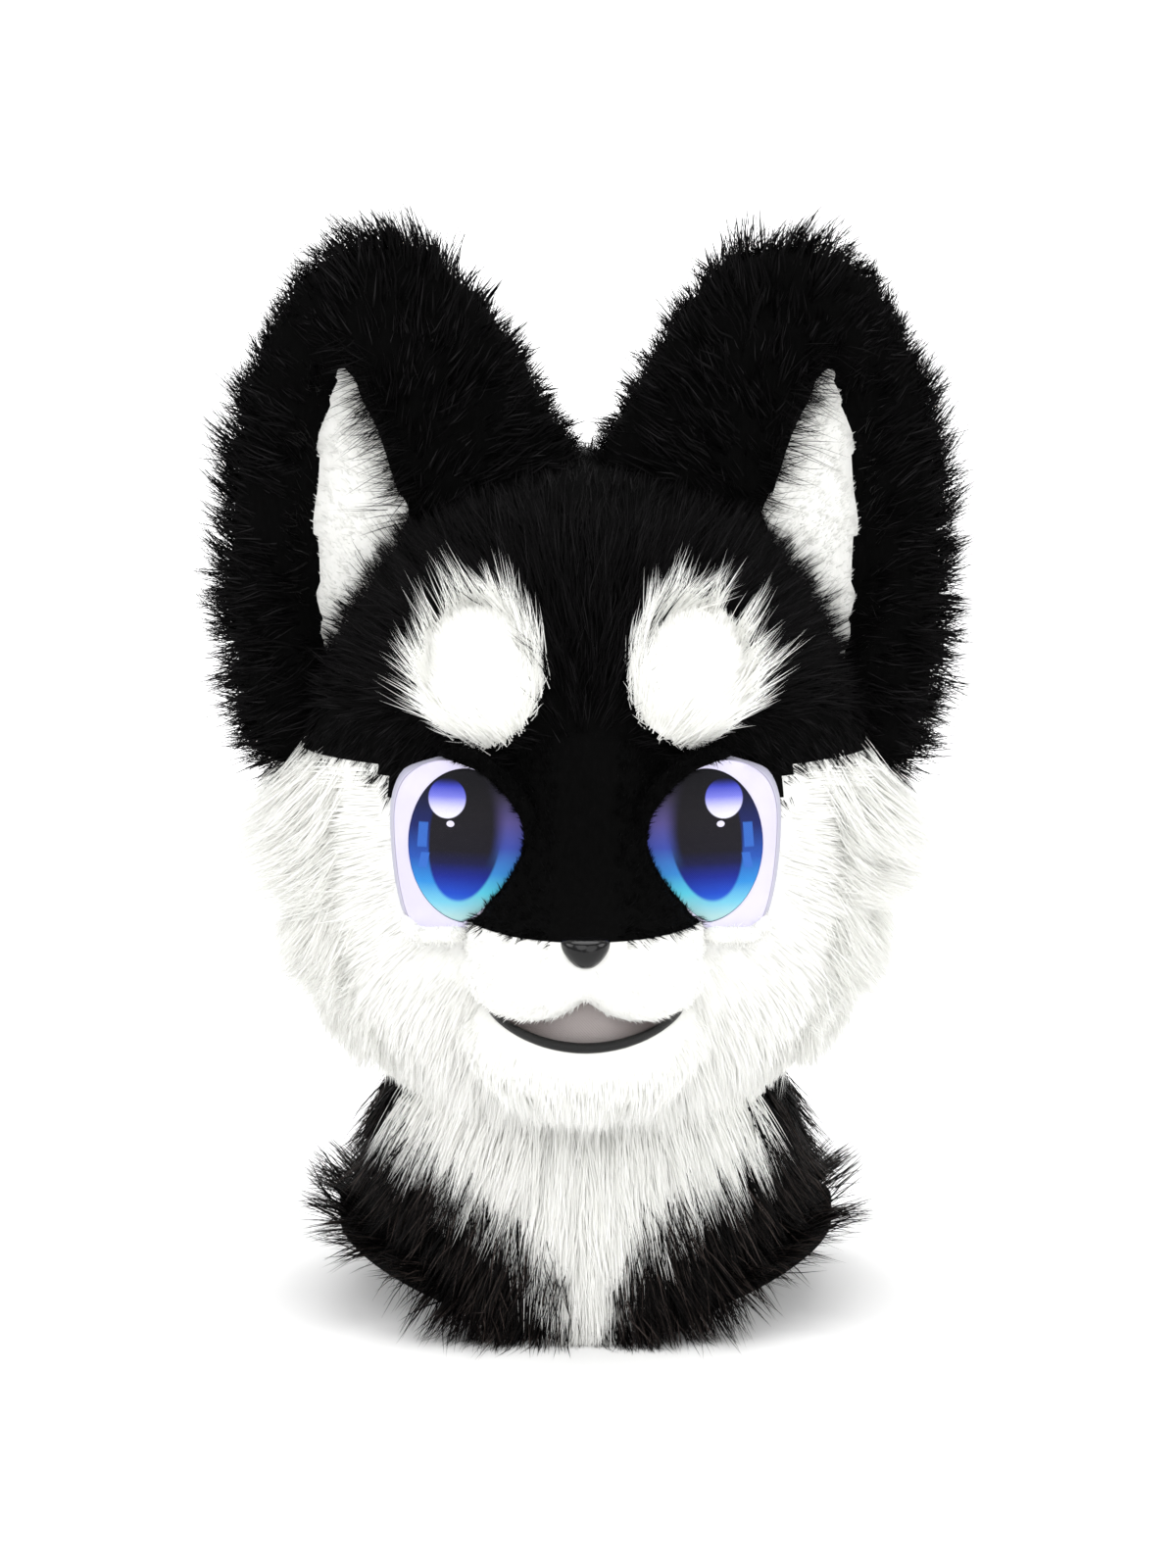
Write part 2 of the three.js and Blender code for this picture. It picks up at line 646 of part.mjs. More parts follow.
// The middle of the nose, in front of the muzzle's own ring at its height.
function noseCentre() {
  const ring = ringAt(snoutRings(0), MUZZLE_SEAM_HEIGHT - NOSE_DROP);
  return new THREE.Vector3(0, ring.middle - ring.front - NOSE_PROUD, ring.height);
}

// A rounded triangle, wide and flattened at the top and narrow below.
function noseSolid(grow) {
  const geometry = new THREE.SphereGeometry(1, BALL_COLUMNS, BALL_ROWS);
  geometry.rotateX(Math.PI / 2);
  const position = geometry.attributes.position;
  for (let i = 0; i < position.count; i += 1) {
    const up = position.getZ(i);
    const taper = 1 - NOSE_TAPER * (1 - up) / 2;
    const flat = up > NOSE_SHOULDER ? NOSE_SHOULDER + (up - NOSE_SHOULDER) / 2 : up;
    position.setXYZ(i, position.getX(i) * taper, position.getY(i), flat);
  }
  geometry.scale(NOSE_WIDTH / 2 + grow, NOSE_DEPTH / 2 + grow, NOSE_HEIGHT / 2 + grow);
  const centre = noseCentre();
  geometry.translate(centre.x, centre.y, centre.z);
  return toSolid(geometry);
}

// The height of the lip line at a distance from the middle.
function smileHeight(x) {
  const share = Math.abs(x) / (JAW_WIDTH / 2);
  return SMILE_LOW + SMILE_RISE * share * share;
}

// Everything below the lip line, dropped or raised by a distance.
function underSmile(lift) {
  const steps = 8;
  const line = Array.from({ length: 2 * steps + 1 }, (_, i) => {
    const x = (i / steps - 1) * JAW_WIDTH * 0.75;
    return { x, z: smileHeight(x) + lift };
  });
  const end = line[line.length - 1].x;
  return prism([{ x: -end, z: 0 }, { x: end, z: 0 }, ...line.reverse()], -FAR, FAR);
}

function jaw(grow) {
  const halves = {
    x: JAW_WIDTH / 2 + grow,
    y: JAW_LENGTH + grow,
    z: JAW_THICKNESS / 2 + grow,
  };
  return ellipsoid({ x: 0, y: -JAW_ROOT, z: JAW_HEIGHT }, halves, BALL_COLUMNS + 2, BALL_ROWS)
    .intersect(underSmile(grow));
}

// The rolled lip follows the jaw's rim.
function lip(grow) {
  const steps = 9;
  const points = Array.from({ length: steps }, (_, i) => {
    const angle = Math.PI * (0.06 + 0.88 * i / (steps - 1));
    const x = Math.cos(angle) * JAW_WIDTH / 2;
    const z = smileHeight(x);
    const slice = Math.sqrt(1 - ((z - JAW_HEIGHT) / (JAW_THICKNESS / 2)) ** 2);
    const y = -JAW_ROOT - Math.sin(angle) * JAW_LENGTH * slice;
    return new THREE.Vector3(x * slice, y, z);
  });
  const section = new THREE.Shape();
  section.absarc(0, 0, LIP_RADIUS + grow, 0, 2 * Math.PI);
  const path = new THREE.CatmullRomCurve3(points);
  const bends = { steps: LIP_STEPS, extrudePath: path, curveSegments: 3 };
  const geometry = new THREE.ExtrudeGeometry(section, bends);
  return toSolid(geometry);
}

// Eyes

// The eye's own frame: its front plate in the XZ plane at the origin, outer edge at -X.
function eyeMatrix(side) {
  const matrix = new THREE.Matrix4().makeRotationZ(side * EYE_YAW);
  matrix.setPosition(side * EYE_SPACING / 2, -EYE_CENTRE_DEPTH, EYE_CENTRE_HEIGHT);
  return matrix;
}

function eyeCurve(side, width, height) {
  return outlineCurve(EYE_OUTLINE, (row) => ({
    x: -side * row.across * width / 2,
    z: row.up * height / 2,
  }));
}

// The whole eye bowl without its opening, grown all round, with a foot as deep as asked.
function eyeBowl(side, grow, foot) {
  const curve = eyeCurve(side, EYE_WIDTH, EYE_HEIGHT);
  const layers = [
    { depth: -grow, grow },
    { depth: EYE_RISE * EYE_BEND_DEPTH, grow: EYE_FLARE * EYE_BEND_FLARE + grow },
    { depth: EYE_RISE, grow: EYE_FLARE + grow },
    { depth: EYE_RISE + foot, grow: EYE_FLARE + grow },
  ].reverse();
  return plate(curve, layers, OUTLINE_COLUMNS);
}

// The mesh opening: an ellipse towards the inner edge, kept inside the bowl's front.
function irisZone(side, grow) {
  const centre = { x: -side * IRIS_SHIFT * EYE_WIDTH / 2, y: 0, z: 0 };
  const shape = new THREE.Shape();
  shape.absellipse(centre.x, centre.z, IRIS_WIDTH / 2 + grow, IRIS_HEIGHT / 2 + grow, 0, 2 * Math.PI);
  const corners = shape.getPoints(16).slice(0, -1).map((p) => ({ x: p.x, z: p.y }));
  const through = EYE_RISE + EYE_FOOT;
  const curve = eyeCurve(side, EYE_WIDTH, EYE_HEIGHT);
  const layers = [
    { depth: 2 * through, grow: grow - EYE_RIM },
    { depth: -2 * through, grow: grow - EYE_RIM },
  ];
  return prism(corners, -through, 1.5 * through).intersect(plate(curve, layers, OUTLINE_COLUMNS));
}

// The mesh is a thin dome that fills the opening.
function irisDome(side) {
  const halves = { x: EYE_WIDTH, y: IRIS_SWELL, z: EYE_HEIGHT };
  const front = { x: 0, y: IRIS_SWELL - IRIS_DOME / 2, z: 0 };
  const back = { x: 0, y: front.y + MESH_THICKNESS, z: 0 };
  const outer = ellipsoid(front, halves, MESH_COLUMNS, MESH_ROWS);
  const inner = ellipsoid(back, halves, MESH_COLUMNS, MESH_ROWS);
  const sheet = outer.subtract(inner);
  return sheet.intersect(irisZone(side, 0)).intersect(block(
    { x: -EYE_WIDTH, y: -IRIS_SWELL, z: -EYE_HEIGHT },
    { x: EYE_WIDTH, y: EYE_RISE, z: EYE_HEIGHT },
  ));
}

function transformed(solid, matrix) {
  return solid.transform(matrix.elements.slice());
}

// Brow spots

function spot(side, grow) {
  const geometry = new THREE.SphereGeometry(1, BALL_COLUMNS, BALL_ROWS);
  geometry.scale(SPOT_WIDTH / 2 + grow, SPOT_THICKNESS / 2 + grow, SPOT_HEIGHT / 2 + grow);
  geometry.rotateY(side * SPOT_TILT);
  const rings = headRings(0);
  const face = ringAt(rings, SPOT_CENTRE_HEIGHT);
  const above = ringAt(rings, SPOT_CENTRE_HEIGHT + SPOT_HEIGHT / 2);
  const lean = Math.atan2(face.front - above.front, SPOT_HEIGHT / 2);
  geometry.rotateX(-lean);
  geometry.rotateZ(side * EYE_YAW);
  const x = SPOT_SPACING / 2;
  const depth = face.front * (1 - (x / face.side) ** PLAN_ROUNDNESS) ** (1 / PLAN_ROUNDNESS);
  const centre = new THREE.Vector3(side * x, -depth, SPOT_CENTRE_HEIGHT);
  geometry.translate(centre.x, centre.y, centre.z);
  return { solid: toSolid(geometry), centre };
}

// A fringe of locks at the upper outer end of a spot.
function spotFringe(side, centre) {
  return turnsBetween(10, 94, FRINGE_COUNT).map((degrees, i) => {
    const turn = THREE.MathUtils.degToRad(degrees);
    const outward = new THREE.Vector3(side * Math.cos(turn), -0.25, Math.sin(turn));
    const root = centre.clone();
    root.x += outward.x * SPOT_WIDTH * FRINGE_SEAT;
    root.y += (Math.abs(outward.x) + outward.z) * SPOT_THICKNESS * FRINGE_SEAT;
    root.z += outward.z * SPOT_HEIGHT * FRINGE_SEAT;
    const length = SPOT_LOCK * (1 + LOCK_UNEVENNESS * scatter(i));
    const lift = new THREE.Vector3(0, LOCK_DROOP, LOCK_DROOP);
    return lock(root, outward, FORWARD, length, length * FRINGE_SLIMNESS, lift);
  });
}

// Ears

function earCurve(side) {
  return outlineCurve(EAR_OUTLINE, (row) => ({
    x: side * (EAR_REACH - row.across * EAR_WIDTH),
    z: EAR_BASE_HEIGHT + row.up * EAR_HEIGHT,
  }));
}

// How thick the ear is at a height, tapering towards the tip.
function earThickness(height) {
  const share = THREE.MathUtils.clamp((height - EAR_BASE_HEIGHT) / EAR_HEIGHT, 0, 1);
  return THREE.MathUtils.lerp(EAR_THICKNESS, EAR_TIP_THICKNESS, share);
}

// The ear plate with its rolled rim.
function earPlate(side) {
  const layers = EAR_RIM.map((row) => ({ ...row, grow: -row.inset * EAR_THICKNESS }));
  return outlineSkin(earCurve(side), layers, OUTLINE_COLUMNS + 6, (layer, point) => (
    -EAR_OFFSET + layer.share * earThickness(point.z) / 2
  ));
}

// Locks round the ear's rim in two rows, kept off the stretch that meets the head.
function earLocks(side) {
  const curve = earCurve(side);
  const locks = [];
  for (let i = 0; i < EAR_LOCK_COUNT; i += 1) {
    const share = EAR_LOCK_START + EAR_LOCK_SPAN * i / (EAR_LOCK_COUNT - 1);
    const front = i % 2 === 0 ? -1 : 1;
    const { point, outward } = outlinePoint(curve, share, 0);
    if (Math.abs(point.x) < EAR_LOCK) {
      continue;
    }
    point.y = -EAR_OFFSET + front * earThickness(point.z) / 5;
    const direction = outward.clone();
    direction.y = front / 4;
    direction.z += LOCK_STRAY * (1 + scatter(i));
    const length = EAR_LOCK * (1 + 1.5 * LOCK_UNEVENNESS * scatter(i + EAR_LOCK_COUNT));
    const bend = new THREE.Vector3(0, 0, -LOCK_DROOP / 2);
    locks.push(lock(point, direction, FORWARD, length, length * EAR_SLIMNESS, bend));
  }
  return locks;
}

// The outline of the inner ear.
function liningCurve(side) {
  const outerEdge = EAR_REACH - LINING_INSET * EAR_WIDTH;
  return outlineCurve(LINING_OUTLINE, (row) => ({
    x: side * (outerEdge - row.across * LINING_WIDTH),
    z: EAR_BASE_HEIGHT + LINING_RISE * EAR_HEIGHT + row.up * LINING_HEIGHT,
  }));
}

// A plate that follows the ear's taper, from one depth under the ear's face to another.
function liningPlate(side, grow, front, back) {
  const layers = [{ grow, under: back }, { grow, under: front }];
  return outlineSkin(liningCurve(side), layers, OUTLINE_COLUMNS, (layer, point) => (
    -EAR_OFFSET - earThickness(point.z) / 2 + layer.under
  ));
}

// Assembly

const headOuter = loft(headRings(0), HEAD_COLUMNS);
const headGrown = loft(headRings(CLEARANCE), HEAD_COLUMNS);
const hollow = headHollow();
const shell = headOuter.subtract(hollow);
const SIDES = [{ name: 'left', side: -1 }, { name: 'right', side: 1 }];

const snoutGrown = loft(snoutRings(CLEARANCE), SNOUT_COLUMNS);
const puffsGrown = puffs(CLEARANCE);
const lipGrown = lip(CLEARANCE);
// The holes for the eyes, with the view through the mesh left free.
const eyeHoles = SIDES.map(({ side }) => {
  const bowlAndView = eyeBowl(side, CLEARANCE, EYE_FOOT + HEAD_WALL).add(irisZone(side, CLEARANCE));
  return transformed(bowlAndView, eyeMatrix(side));
});
const bothEyeHoles = eyeHoles[0].add(eyeHoles[1]);

const noseGrown = noseSolid(CLEARANCE);

function buildFaceFur() {
  const locks = [];
  const droop = new THREE.Vector3(0, 0, -LOCK_DROOP);
  const rings = headRings(0);
  for (const side of [-1, 1]) {
    for (const row of CHEEK_LOCKS) {
      const ring = ringAt(rings, row.height * CROWN_HEIGHT);
      const turn = side < 0 ? 180 + row.turn : 360 - row.turn;
      const root = planPoint(ring, (turn / 360) % 1);
      const lean = row.turn < 0 ? CHEEK_LEAN : -CHEEK_LEAN;
      const direction = new THREE.Vector3(side, lean, -row.drop);
      const length = CHEEK_LOCK * row.size;
      locks.push(lock(root, direction, FORWARD, length, length * CHEEK_SLIMNESS, droop));
    }
  }
  const throat = locksOnRings(rings, THROAT_LOCKS, BIB_LOCK);
  return addAll(shell.intersect(faceZone(0)), [...locks, ...throat])
    .add(jaw(0))
    .subtract(hollow)
    .subtract(lipGrown)
    .subtract(snoutGrown.intersect(faceZone(CLEARANCE)))
    .subtract(puffsGrown)
    .subtract(bothEyeHoles);
}

function buildHood() {
  const locks = locksOnRings(headRings(0), HOOD_LOCKS, HOOD_LOCK);
  return addAll(shell.subtract(faceZone(CLEARANCE)), locks)
    .subtract(hollow)
    .subtract(bothEyeHoles);
}

function buildNoseBridge() {
  const spots = SIDES.map(({ side }) => spot(side, CLEARANCE).solid);
  return loft(snoutRings(0), SNOUT_COLUMNS)
    .subtract(headGrown)
    .subtract(below(MUZZLE_SEAM_HEIGHT))
    .subtract(bothEyeHoles)
    .subtract(spots[0])
    .subtract(spots[1])
    .subtract(noseGrown);
}

function buildMuzzle() {
  return loft(snoutRings(0), SNOUT_COLUMNS)
    .intersect(below(MUZZLE_SEAM_HEIGHT - CLEARANCE))
    .add(puffs(0).intersect(below(MUZZLE_SEAM_HEIGHT - CLEARANCE)))
    .subtract(headGrown)
    .subtract(bothEyeHoles)
    .subtract(lipGrown)
    .subtract(noseGrown);
}

function buildMouthLining() {
  const centre = { x: 0, y: -JAW_ROOT, z: JAW_HEIGHT + PUFF_DROP / 2 };
  const halves = {
    x: JAW_WIDTH / 2 - LIP_RADIUS * 2,
    y: JAW_LENGTH - MOUTH_RECESS,
    z: JAW_THICKNESS / 2,
  };
  return ellipsoid(centre, halves, BALL_COLUMNS, BALL_ROWS)
    .subtract(underSmile(CLEARANCE))
    .subtract(headGrown)
    .subtract(snoutGrown)
    .subtract(puffsGrown)
    .subtract(lipGrown);
}

function buildNeckFur() {
  const locks = locksOnRings(neckRings(0), NECK_LOCKS, NECK_LOCK);
  return addAll(neckShell(), locks)
    .subtract(bibZone(CLEARANCE))
    .subtract(neckHollow())
    .subtract(hemArch())
    .subtract(below(0));
}

function buildBib() {
  const locks = locksOnRings(neckRings(0), BIB_LOCKS, BIB_LOCK);
  return addAll(neckShell(), locks)
    .intersect(bibZone(0))
    .subtract(neckHollow())
    .subtract(below(0));
}

function buildEar(side) {
  return addAll(earPlate(side), earLocks(side))
    .subtract(liningPlate(side, CLEARANCE, -EAR_THICKNESS, LINING_RECESS + LINING_THICKNESS + CLEARANCE))
    .subtract(headGrown);
}

function buildLining(side) {
  return liningPlate(side, 0, LINING_RECESS, LINING_RECESS + LINING_THICKNESS).subtract(headGrown);
}

function buildSpot(side) {
  const pad = spot(side, 0);
  return addAll(pad.solid, spotFringe(side, pad.centre)).subtract(headGrown);
}

const head = new THREE.Group();
const middle = new THREE.Vector3(0, 0, WAIST_HEIGHT);
head.add(toMesh('hood', buildHood(), BLACK_FUR, middle));
head.add(toMesh('face_fur', buildFaceFur(), WHITE_FUR, middle));

const snout = new THREE.Group();
const snoutPivot = new THREE.Vector3(0, -SNOUT_ROOT, MUZZLE_HEIGHT);
snout.add(toMesh('nose_bridge', buildNoseBridge(), BLACK_PILE, snoutPivot));
snout.add(toMesh('muzzle', buildMuzzle(), WHITE_PILE, snoutPivot));
snout.add(toMesh('nose', noseSolid(0), NOSE_PLASTIC, noseCentre()));
snout.add(toMesh('lip', lip(0), LIP_LEATHER, snoutPivot));
snout.add(toMesh('mouth_lining', buildMouthLining(), MOUTH_CLOTH, snoutPivot));
head.add(snout);

for (const { name, side } of SIDES) {
  const origin = new THREE.Vector3(0, 0, 0);
  const eye = new THREE.Group();
  eye.position.set(side * EYE_SPACING / 2, -EYE_CENTRE_DEPTH, EYE_CENTRE_HEIGHT);
  eye.rotation.z = side * EYE_YAW;
  const bowl = eyeBowl(side, 0, EYE_FOOT).subtract(irisZone(side, CLEARANCE));
  eye.add(toMesh(`eye_white_${name}`, bowl, EYE_PLASTIC, origin));
  eye.add(toMesh(`iris_${name}`, irisDome(side), EYE_MESH, origin));
  head.add(eye);

  const earPivot = new THREE.Vector3(side * (EAR_REACH - EAR_WIDTH / 2), -EAR_OFFSET, EAR_BASE_HEIGHT);
  head.add(toMesh(`ear_${name}`, buildEar(side), BLACK_FUR, earPivot));
  head.add(toMesh(`ear_lining_${name}`, buildLining(side), WHITE_PILE, earPivot));
  head.add(toMesh(`brow_spot_${name}`, buildSpot(side), WHITE_PILE, spot(side, 0).centre));
}

head.add(toMesh('neck_fur', buildNeckFur(), BLACK_FUR, new THREE.Vector3(0, 0, 0)));
head.add(toMesh('bib', buildBib(), WHITE_FUR, new THREE.Vector3(0, 0, 0)));

// The origin is on the floor under the middle of the whole head.
const part = new THREE.Group();
part.add(head);
const extent = new THREE.Box3().setFromObject(head).getCenter(new THREE.Vector3());
head.position.set(-extent.x, -extent.y, 0);

export default part;
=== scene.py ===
import math

import bpy
import numpy as np
from mathutils import Matrix, Vector


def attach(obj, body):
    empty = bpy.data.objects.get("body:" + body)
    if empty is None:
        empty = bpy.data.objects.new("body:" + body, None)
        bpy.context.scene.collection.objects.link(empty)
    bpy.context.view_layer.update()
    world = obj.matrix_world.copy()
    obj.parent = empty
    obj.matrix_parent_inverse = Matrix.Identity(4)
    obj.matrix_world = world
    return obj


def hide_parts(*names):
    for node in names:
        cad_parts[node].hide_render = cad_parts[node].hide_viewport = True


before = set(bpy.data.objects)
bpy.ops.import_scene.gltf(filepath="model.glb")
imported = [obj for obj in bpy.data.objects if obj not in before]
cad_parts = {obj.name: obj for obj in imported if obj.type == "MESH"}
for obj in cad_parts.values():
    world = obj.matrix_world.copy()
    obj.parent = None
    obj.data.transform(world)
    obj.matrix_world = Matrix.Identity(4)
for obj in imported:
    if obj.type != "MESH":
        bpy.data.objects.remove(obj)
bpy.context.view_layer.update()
bpy.ops.object.select_all(action="DESELECT")

# Sizes

MIDDLE_Y = 0.02634  # the head's middle behind the object's origin
HEAD_SIDE = 0.130
FACE_DEPTH = 0.118
BACK_DEPTH = 0.120
WAIST_HEIGHT = 0.096
CROWN_HEIGHT = 0.366
HEAD_WALL = 0.014
SIDE_SEAM_DEPTH = 0.034
ROUNDNESS = 2.15

HEM_SIDE = 0.109
HEM_FRONT = 0.106
HEM_BACK = 0.098
NECK_WALL = 0.010
HEM_ARCH_LENGTH = 0.210
HEM_ARCH_HEIGHT = 0.038

SNOUT_REACH = 0.178
SNOUT_SIDE = 0.054
SNOUT_ROOT = 0.070
MUZZLE_HEIGHT = 0.157
MUZZLE_SEAM = 0.182
BROW_TOP = 0.278
PUFF_SPACING = 0.044
PUFF_RADIUS = 0.0265
PUFF_DEPTH = 0.038
PUFF_DROP = 0.0185
PUFF_RISE = 0.0067

JAW_SIDE = 0.049
JAW_ROOT = 0.111
JAW_LENGTH = 0.052
JAW_HEIGHT = 0.131
JAW_HALF = 0.028
LIP_RADIUS = 0.0023
LIP_SAG = 0.0040
LIP_UP = 0.0008
LIP_END = (0.0036, -0.0030, 0.0080)  # how each end of the lip rises beside the muzzle
SMILE_LOW = 0.136
SMILE_RISE = 0.018
MOUTH_RECESS = 0.007

NOSE_HALF = (0.0124, 0.0080, 0.0076)
NOSE_HEIGHT = 0.180
NOSE_FRONT = 0.1779

EYE_WIDTH = 0.057
EYE_TALL = 0.070
EYE_OUT = 0.0515
EYE_HEIGHT = 0.213
EYE_DEPTH = 0.119
EYE_YAW = math.radians(18)
EYE_FLARE = 0.0055
EYE_RISE = 0.009
EYE_FOOT = 0.015
EYE_POINTS = 96  # round the outline of an eye
EYE_REACH = (-0.02, 0.06)  # how far before and behind its middle an eye keeps hair away
IRIS_HALF = (0.026, 0.03225)
IRIS_SHIFT = 0.00285
IRIS_SWELL = 0.020
IRIS_DOME = 0.0032
IRIS_GAP = 0.0016
# Where the padded edges start and end on the outline of the eye.
MASK_EDGE = ((-0.34, 1.0), (0.1, -0.93))
LID_EDGE = ((0.06, -0.95), (-0.82, -0.86))
EDGE_OFF = 0.0027
EDGE_DEPTH = 0.0006
EDGE_RADIUS = 0.0036
SOCKET_GAP = -0.0011
SOCKET_DEPTH = 0.004
SOCKET_REACH = 0.09
SOCKET_FLARE = 0.06

SPOT_HALF = (0.0235, 0.0075, 0.031)
SPOT_OUT = 0.0425
SPOT_HEIGHT = 0.282
SPOT_TILT = math.radians(24)

EAR_REACH = 0.152
EAR_WIDTH = 0.148
EAR_FOOT = 0.234
EAR_TALL = 0.221
EAR_THICK = 0.052
EAR_TIP_THICK = 0.034
EAR_OFFSET = 0.012
EAR_POINTS = 96  # round the outline of an ear
LINING_POINTS = 64
LINING_INSET = 0.22
LINING_RISE = 0.165
LINING_WIDTH = 0.045
LINING_TALL = 0.138
LINING_RECESS = 0.009
LINING_THICK = 0.006

STAGE_FRONT = -4.0
STAGE_BACK = 2.4
STAGE_BEND = 0.8
STAGE_TOP = 5.0
STAGE_SIDE = 5.0
LENS = 99.4  # millimetres
CAMERA_REACH = 1.9
CAMERA_RISE = math.radians(8)
CAMERA_HEIGHT = 0.222  # of the point that the camera looks at

# Shapes as shares of the sizes, each row in the order that the comment gives.

# height, width, front, back
HEAD_SECTIONS = [
    (0.0, 0.66, 0.72, 0.64),
    (0.06, 0.78, 0.83, 0.76),
    (0.126, 0.89, 0.92, 0.88),
    (0.207, 0.965, 0.965, 0.95),
    (0.31, 1.0, 0.99, 1.0),
    (0.42, 1.0, 1.0, 1.03),
    (0.533, 0.975, 0.985, 1.04),
    (0.644, 0.91, 0.94, 1.01),
    (0.755, 0.785, 0.83, 0.93),
    (0.848, 0.67, 0.69, 0.8),
    (0.922, 0.53, 0.52, 0.64),
    (0.972, 0.36, 0.34, 0.44),
    (1.0, 0.16, 0.15, 0.2),
]
# height, flare
NECK_SECTIONS = [(0.0, 1.0), (0.16, 0.84), (0.42, 0.46), (0.73, 0.14), (1.0, 0.0)]
# height, width, front
SNOUT_SECTIONS = [
    (0.0, 0.6, 0.86),
    (0.04, 0.86, 0.95),
    (0.09, 0.98, 0.985),
    (0.16, 1.0, 0.985),
    (0.2, 1.0, 0.95),
    (0.28, 1.0, 0.83),
    (0.39, 0.96, 0.7),
    (0.55, 0.97, 0.6),
    (0.71, 0.92, 0.51),
    (0.87, 0.8, 0.38),
    (1.0, 0.55, 0.22),
]
# across from the outer edge at -1, up
EYE_OUTLINE = [
    (-1.0, 0.2), (-0.94, 0.6), (-0.72, 0.86), (-0.4, 0.99), (0.0, 0.995), (0.35, 0.88), (0.68, 0.66),
    (0.92, 0.4), (1.0, 0.14), (0.93, -0.12), (0.72, -0.42), (0.42, -0.7), (0.08, -0.94), (-0.34, -1.0),
    (-0.72, -0.96), (-0.92, -0.5),
]
# across from the outer edge at 0, up
EAR_OUTLINE = [
    (0.13, 0.0), (0.05, 0.1), (0.01, 0.22), (0.0, 0.36), (0.01, 0.52), (0.04, 0.68), (0.11, 0.83),
    (0.21, 0.94), (0.34, 0.99), (0.48, 1.0), (0.62, 0.96), (0.74, 0.88), (0.83, 0.78), (0.92, 0.68),
    (0.99, 0.57), (0.9, 0.42), (0.66, 0.24), (0.34, 0.03),
]
LINING_OUTLINE = [
    (0.2, 0.0), (0.06, 0.16), (0.0, 0.4), (0.02, 0.64), (0.1, 0.84), (0.32, 1.0), (0.58, 0.9),
    (0.82, 0.7), (1.0, 0.47), (0.84, 0.28), (0.5, 0.1),
]
# across from the middle, up from the hem to the waist
BIB_OUTLINE = [(0.05, 0.0), (0.12, 0.25), (0.20, 0.44), (0.37, 0.61), (0.68, 0.82), (0.94, 1.0)]
# height, how far the tips of the cheek fur reach from the middle
CHEEK_LINE = [
    (0.100, 0.080), (0.112, 0.090), (0.122, 0.103), (0.133, 0.121), (0.144, 0.140), (0.155, 0.141),
    (0.168, 0.138), (0.180, 0.151), (0.192, 0.164), (0.205, 0.156), (0.220, 0.146), (0.238, 0.138),
]
CHEEK_TIPS = (0.192, 0.144)  # heights of the two soft points of a cheek
HAIR_LIMIT = (0.175, 0.1765)  # no hair reaches further to the side, or further to the front and back
NECK_REACH = 0.128  # nor the neck's hair further to the side than this
HAIR_COLUMNS = 64  # strips of the hair's map, each with a shade of its own


# Numbers and curves

def smooth(xs, ys, x):
    """A smooth curve through a table's rows, read at x."""
    xs, ys, x = (np.asarray(v, float) for v in (xs, ys, x))
    slope = np.gradient(ys, xs)
    i = np.clip(np.searchsorted(xs, x) - 1, 0, len(xs) - 2)
    step = xs[i + 1] - xs[i]
    t = np.clip((x - xs[i]) / step, 0, 1)
    near = (1 + 2 * t) * (1 - t) ** 2 * ys[i] + t * (1 - t) ** 2 * step * slope[i]
    far = t * t * (3 - 2 * t) * ys[i + 1] - t * t * (1 - t) * step * slope[i + 1]
    return near + far


def unit(v):
    return v / np.maximum(np.linalg.norm(v, axis=-1, keepdims=True), 1e-9)


def fade(low, high, x):
    """0 under low, 1 over high and smooth between."""
    t = np.clip((x - low) / (high - low), 0, 1)
    return t * t * (3 - 2 * t)


def closed_outline(points, count):
    """Even points round a smooth closed curve through an outline's corners."""
    p = np.asarray(points, float)
    t = np.linspace(0, len(p), 16 * count, endpoint=False)
    i = t.astype(int)
    f = (t - i)[:, None]
    a, b, c, d = (p[(i + k) % len(p)] for k in (-1, 0, 1, 2))
    dense = b + 0.5 * f * (c - a + f * (2 * a - 5 * b + 4 * c - d + f * (3 * (b - c) + d - a)))
    steps = np.linalg.norm(np.roll(dense, -1, 0) - dense, axis=1)
    reach = np.concatenate([[0], np.cumsum(steps)])
    want = np.linspace(0, reach[-1], count, endpoint=False)
    loop = np.vstack([dense, dense[:1]])
    return np.stack([np.interp(want, reach, loop[:, k]) for k in (0, 1)], axis=1)


def outward_of(outline):
    """The outward direction at each point of an outline."""
    along = unit(np.roll(outline, -1, 0) - np.roll(outline, 1, 0))
    across, up = outline.T
    area = np.sum(across * np.roll(up, -1) - np.roll(across, -1) * up)
    return np.stack([along[:, 1], -along[:, 0]], axis=1) * np.sign(area)


def inside_outline(outline, x, z):
    """Which points lie inside an outline."""
    inside = np.zeros(np.shape(x), bool)
    for (ax, az), (bx, bz) in zip(outline, np.roll(outline, -1, 0)):
        crosses = (az > z) != (bz > z)
        reach = (bx - ax) * (z - az) / np.where(bz == az, 1e-12, bz - az) + ax
        inside ^= crosses & (x < reach)
    return inside


# Shapes of the head

def plan_point(side, front, back, angle):
    """A point of a rounded plan, from its half width and its depths to the front and the back."""
    c, s = np.cos(angle), np.sin(angle)
    x = np.sign(c) * np.abs(c) ** (2 / ROUNDNESS) * side
    y = np.sign(s) * np.abs(s) ** (2 / ROUNDNESS) * np.where(s < 0, front, back)
    return x, y


def head_sizes(z):
    table = np.array(HEAD_SECTIONS)
    share = (z - WAIST_HEIGHT) / (CROWN_HEIGHT - WAIST_HEIGHT)
    width, front, back = (smooth(table[:, 0], table[:, k], share) for k in (1, 2, 3))
    return width * HEAD_SIDE, front * FACE_DEPTH, back * BACK_DEPTH


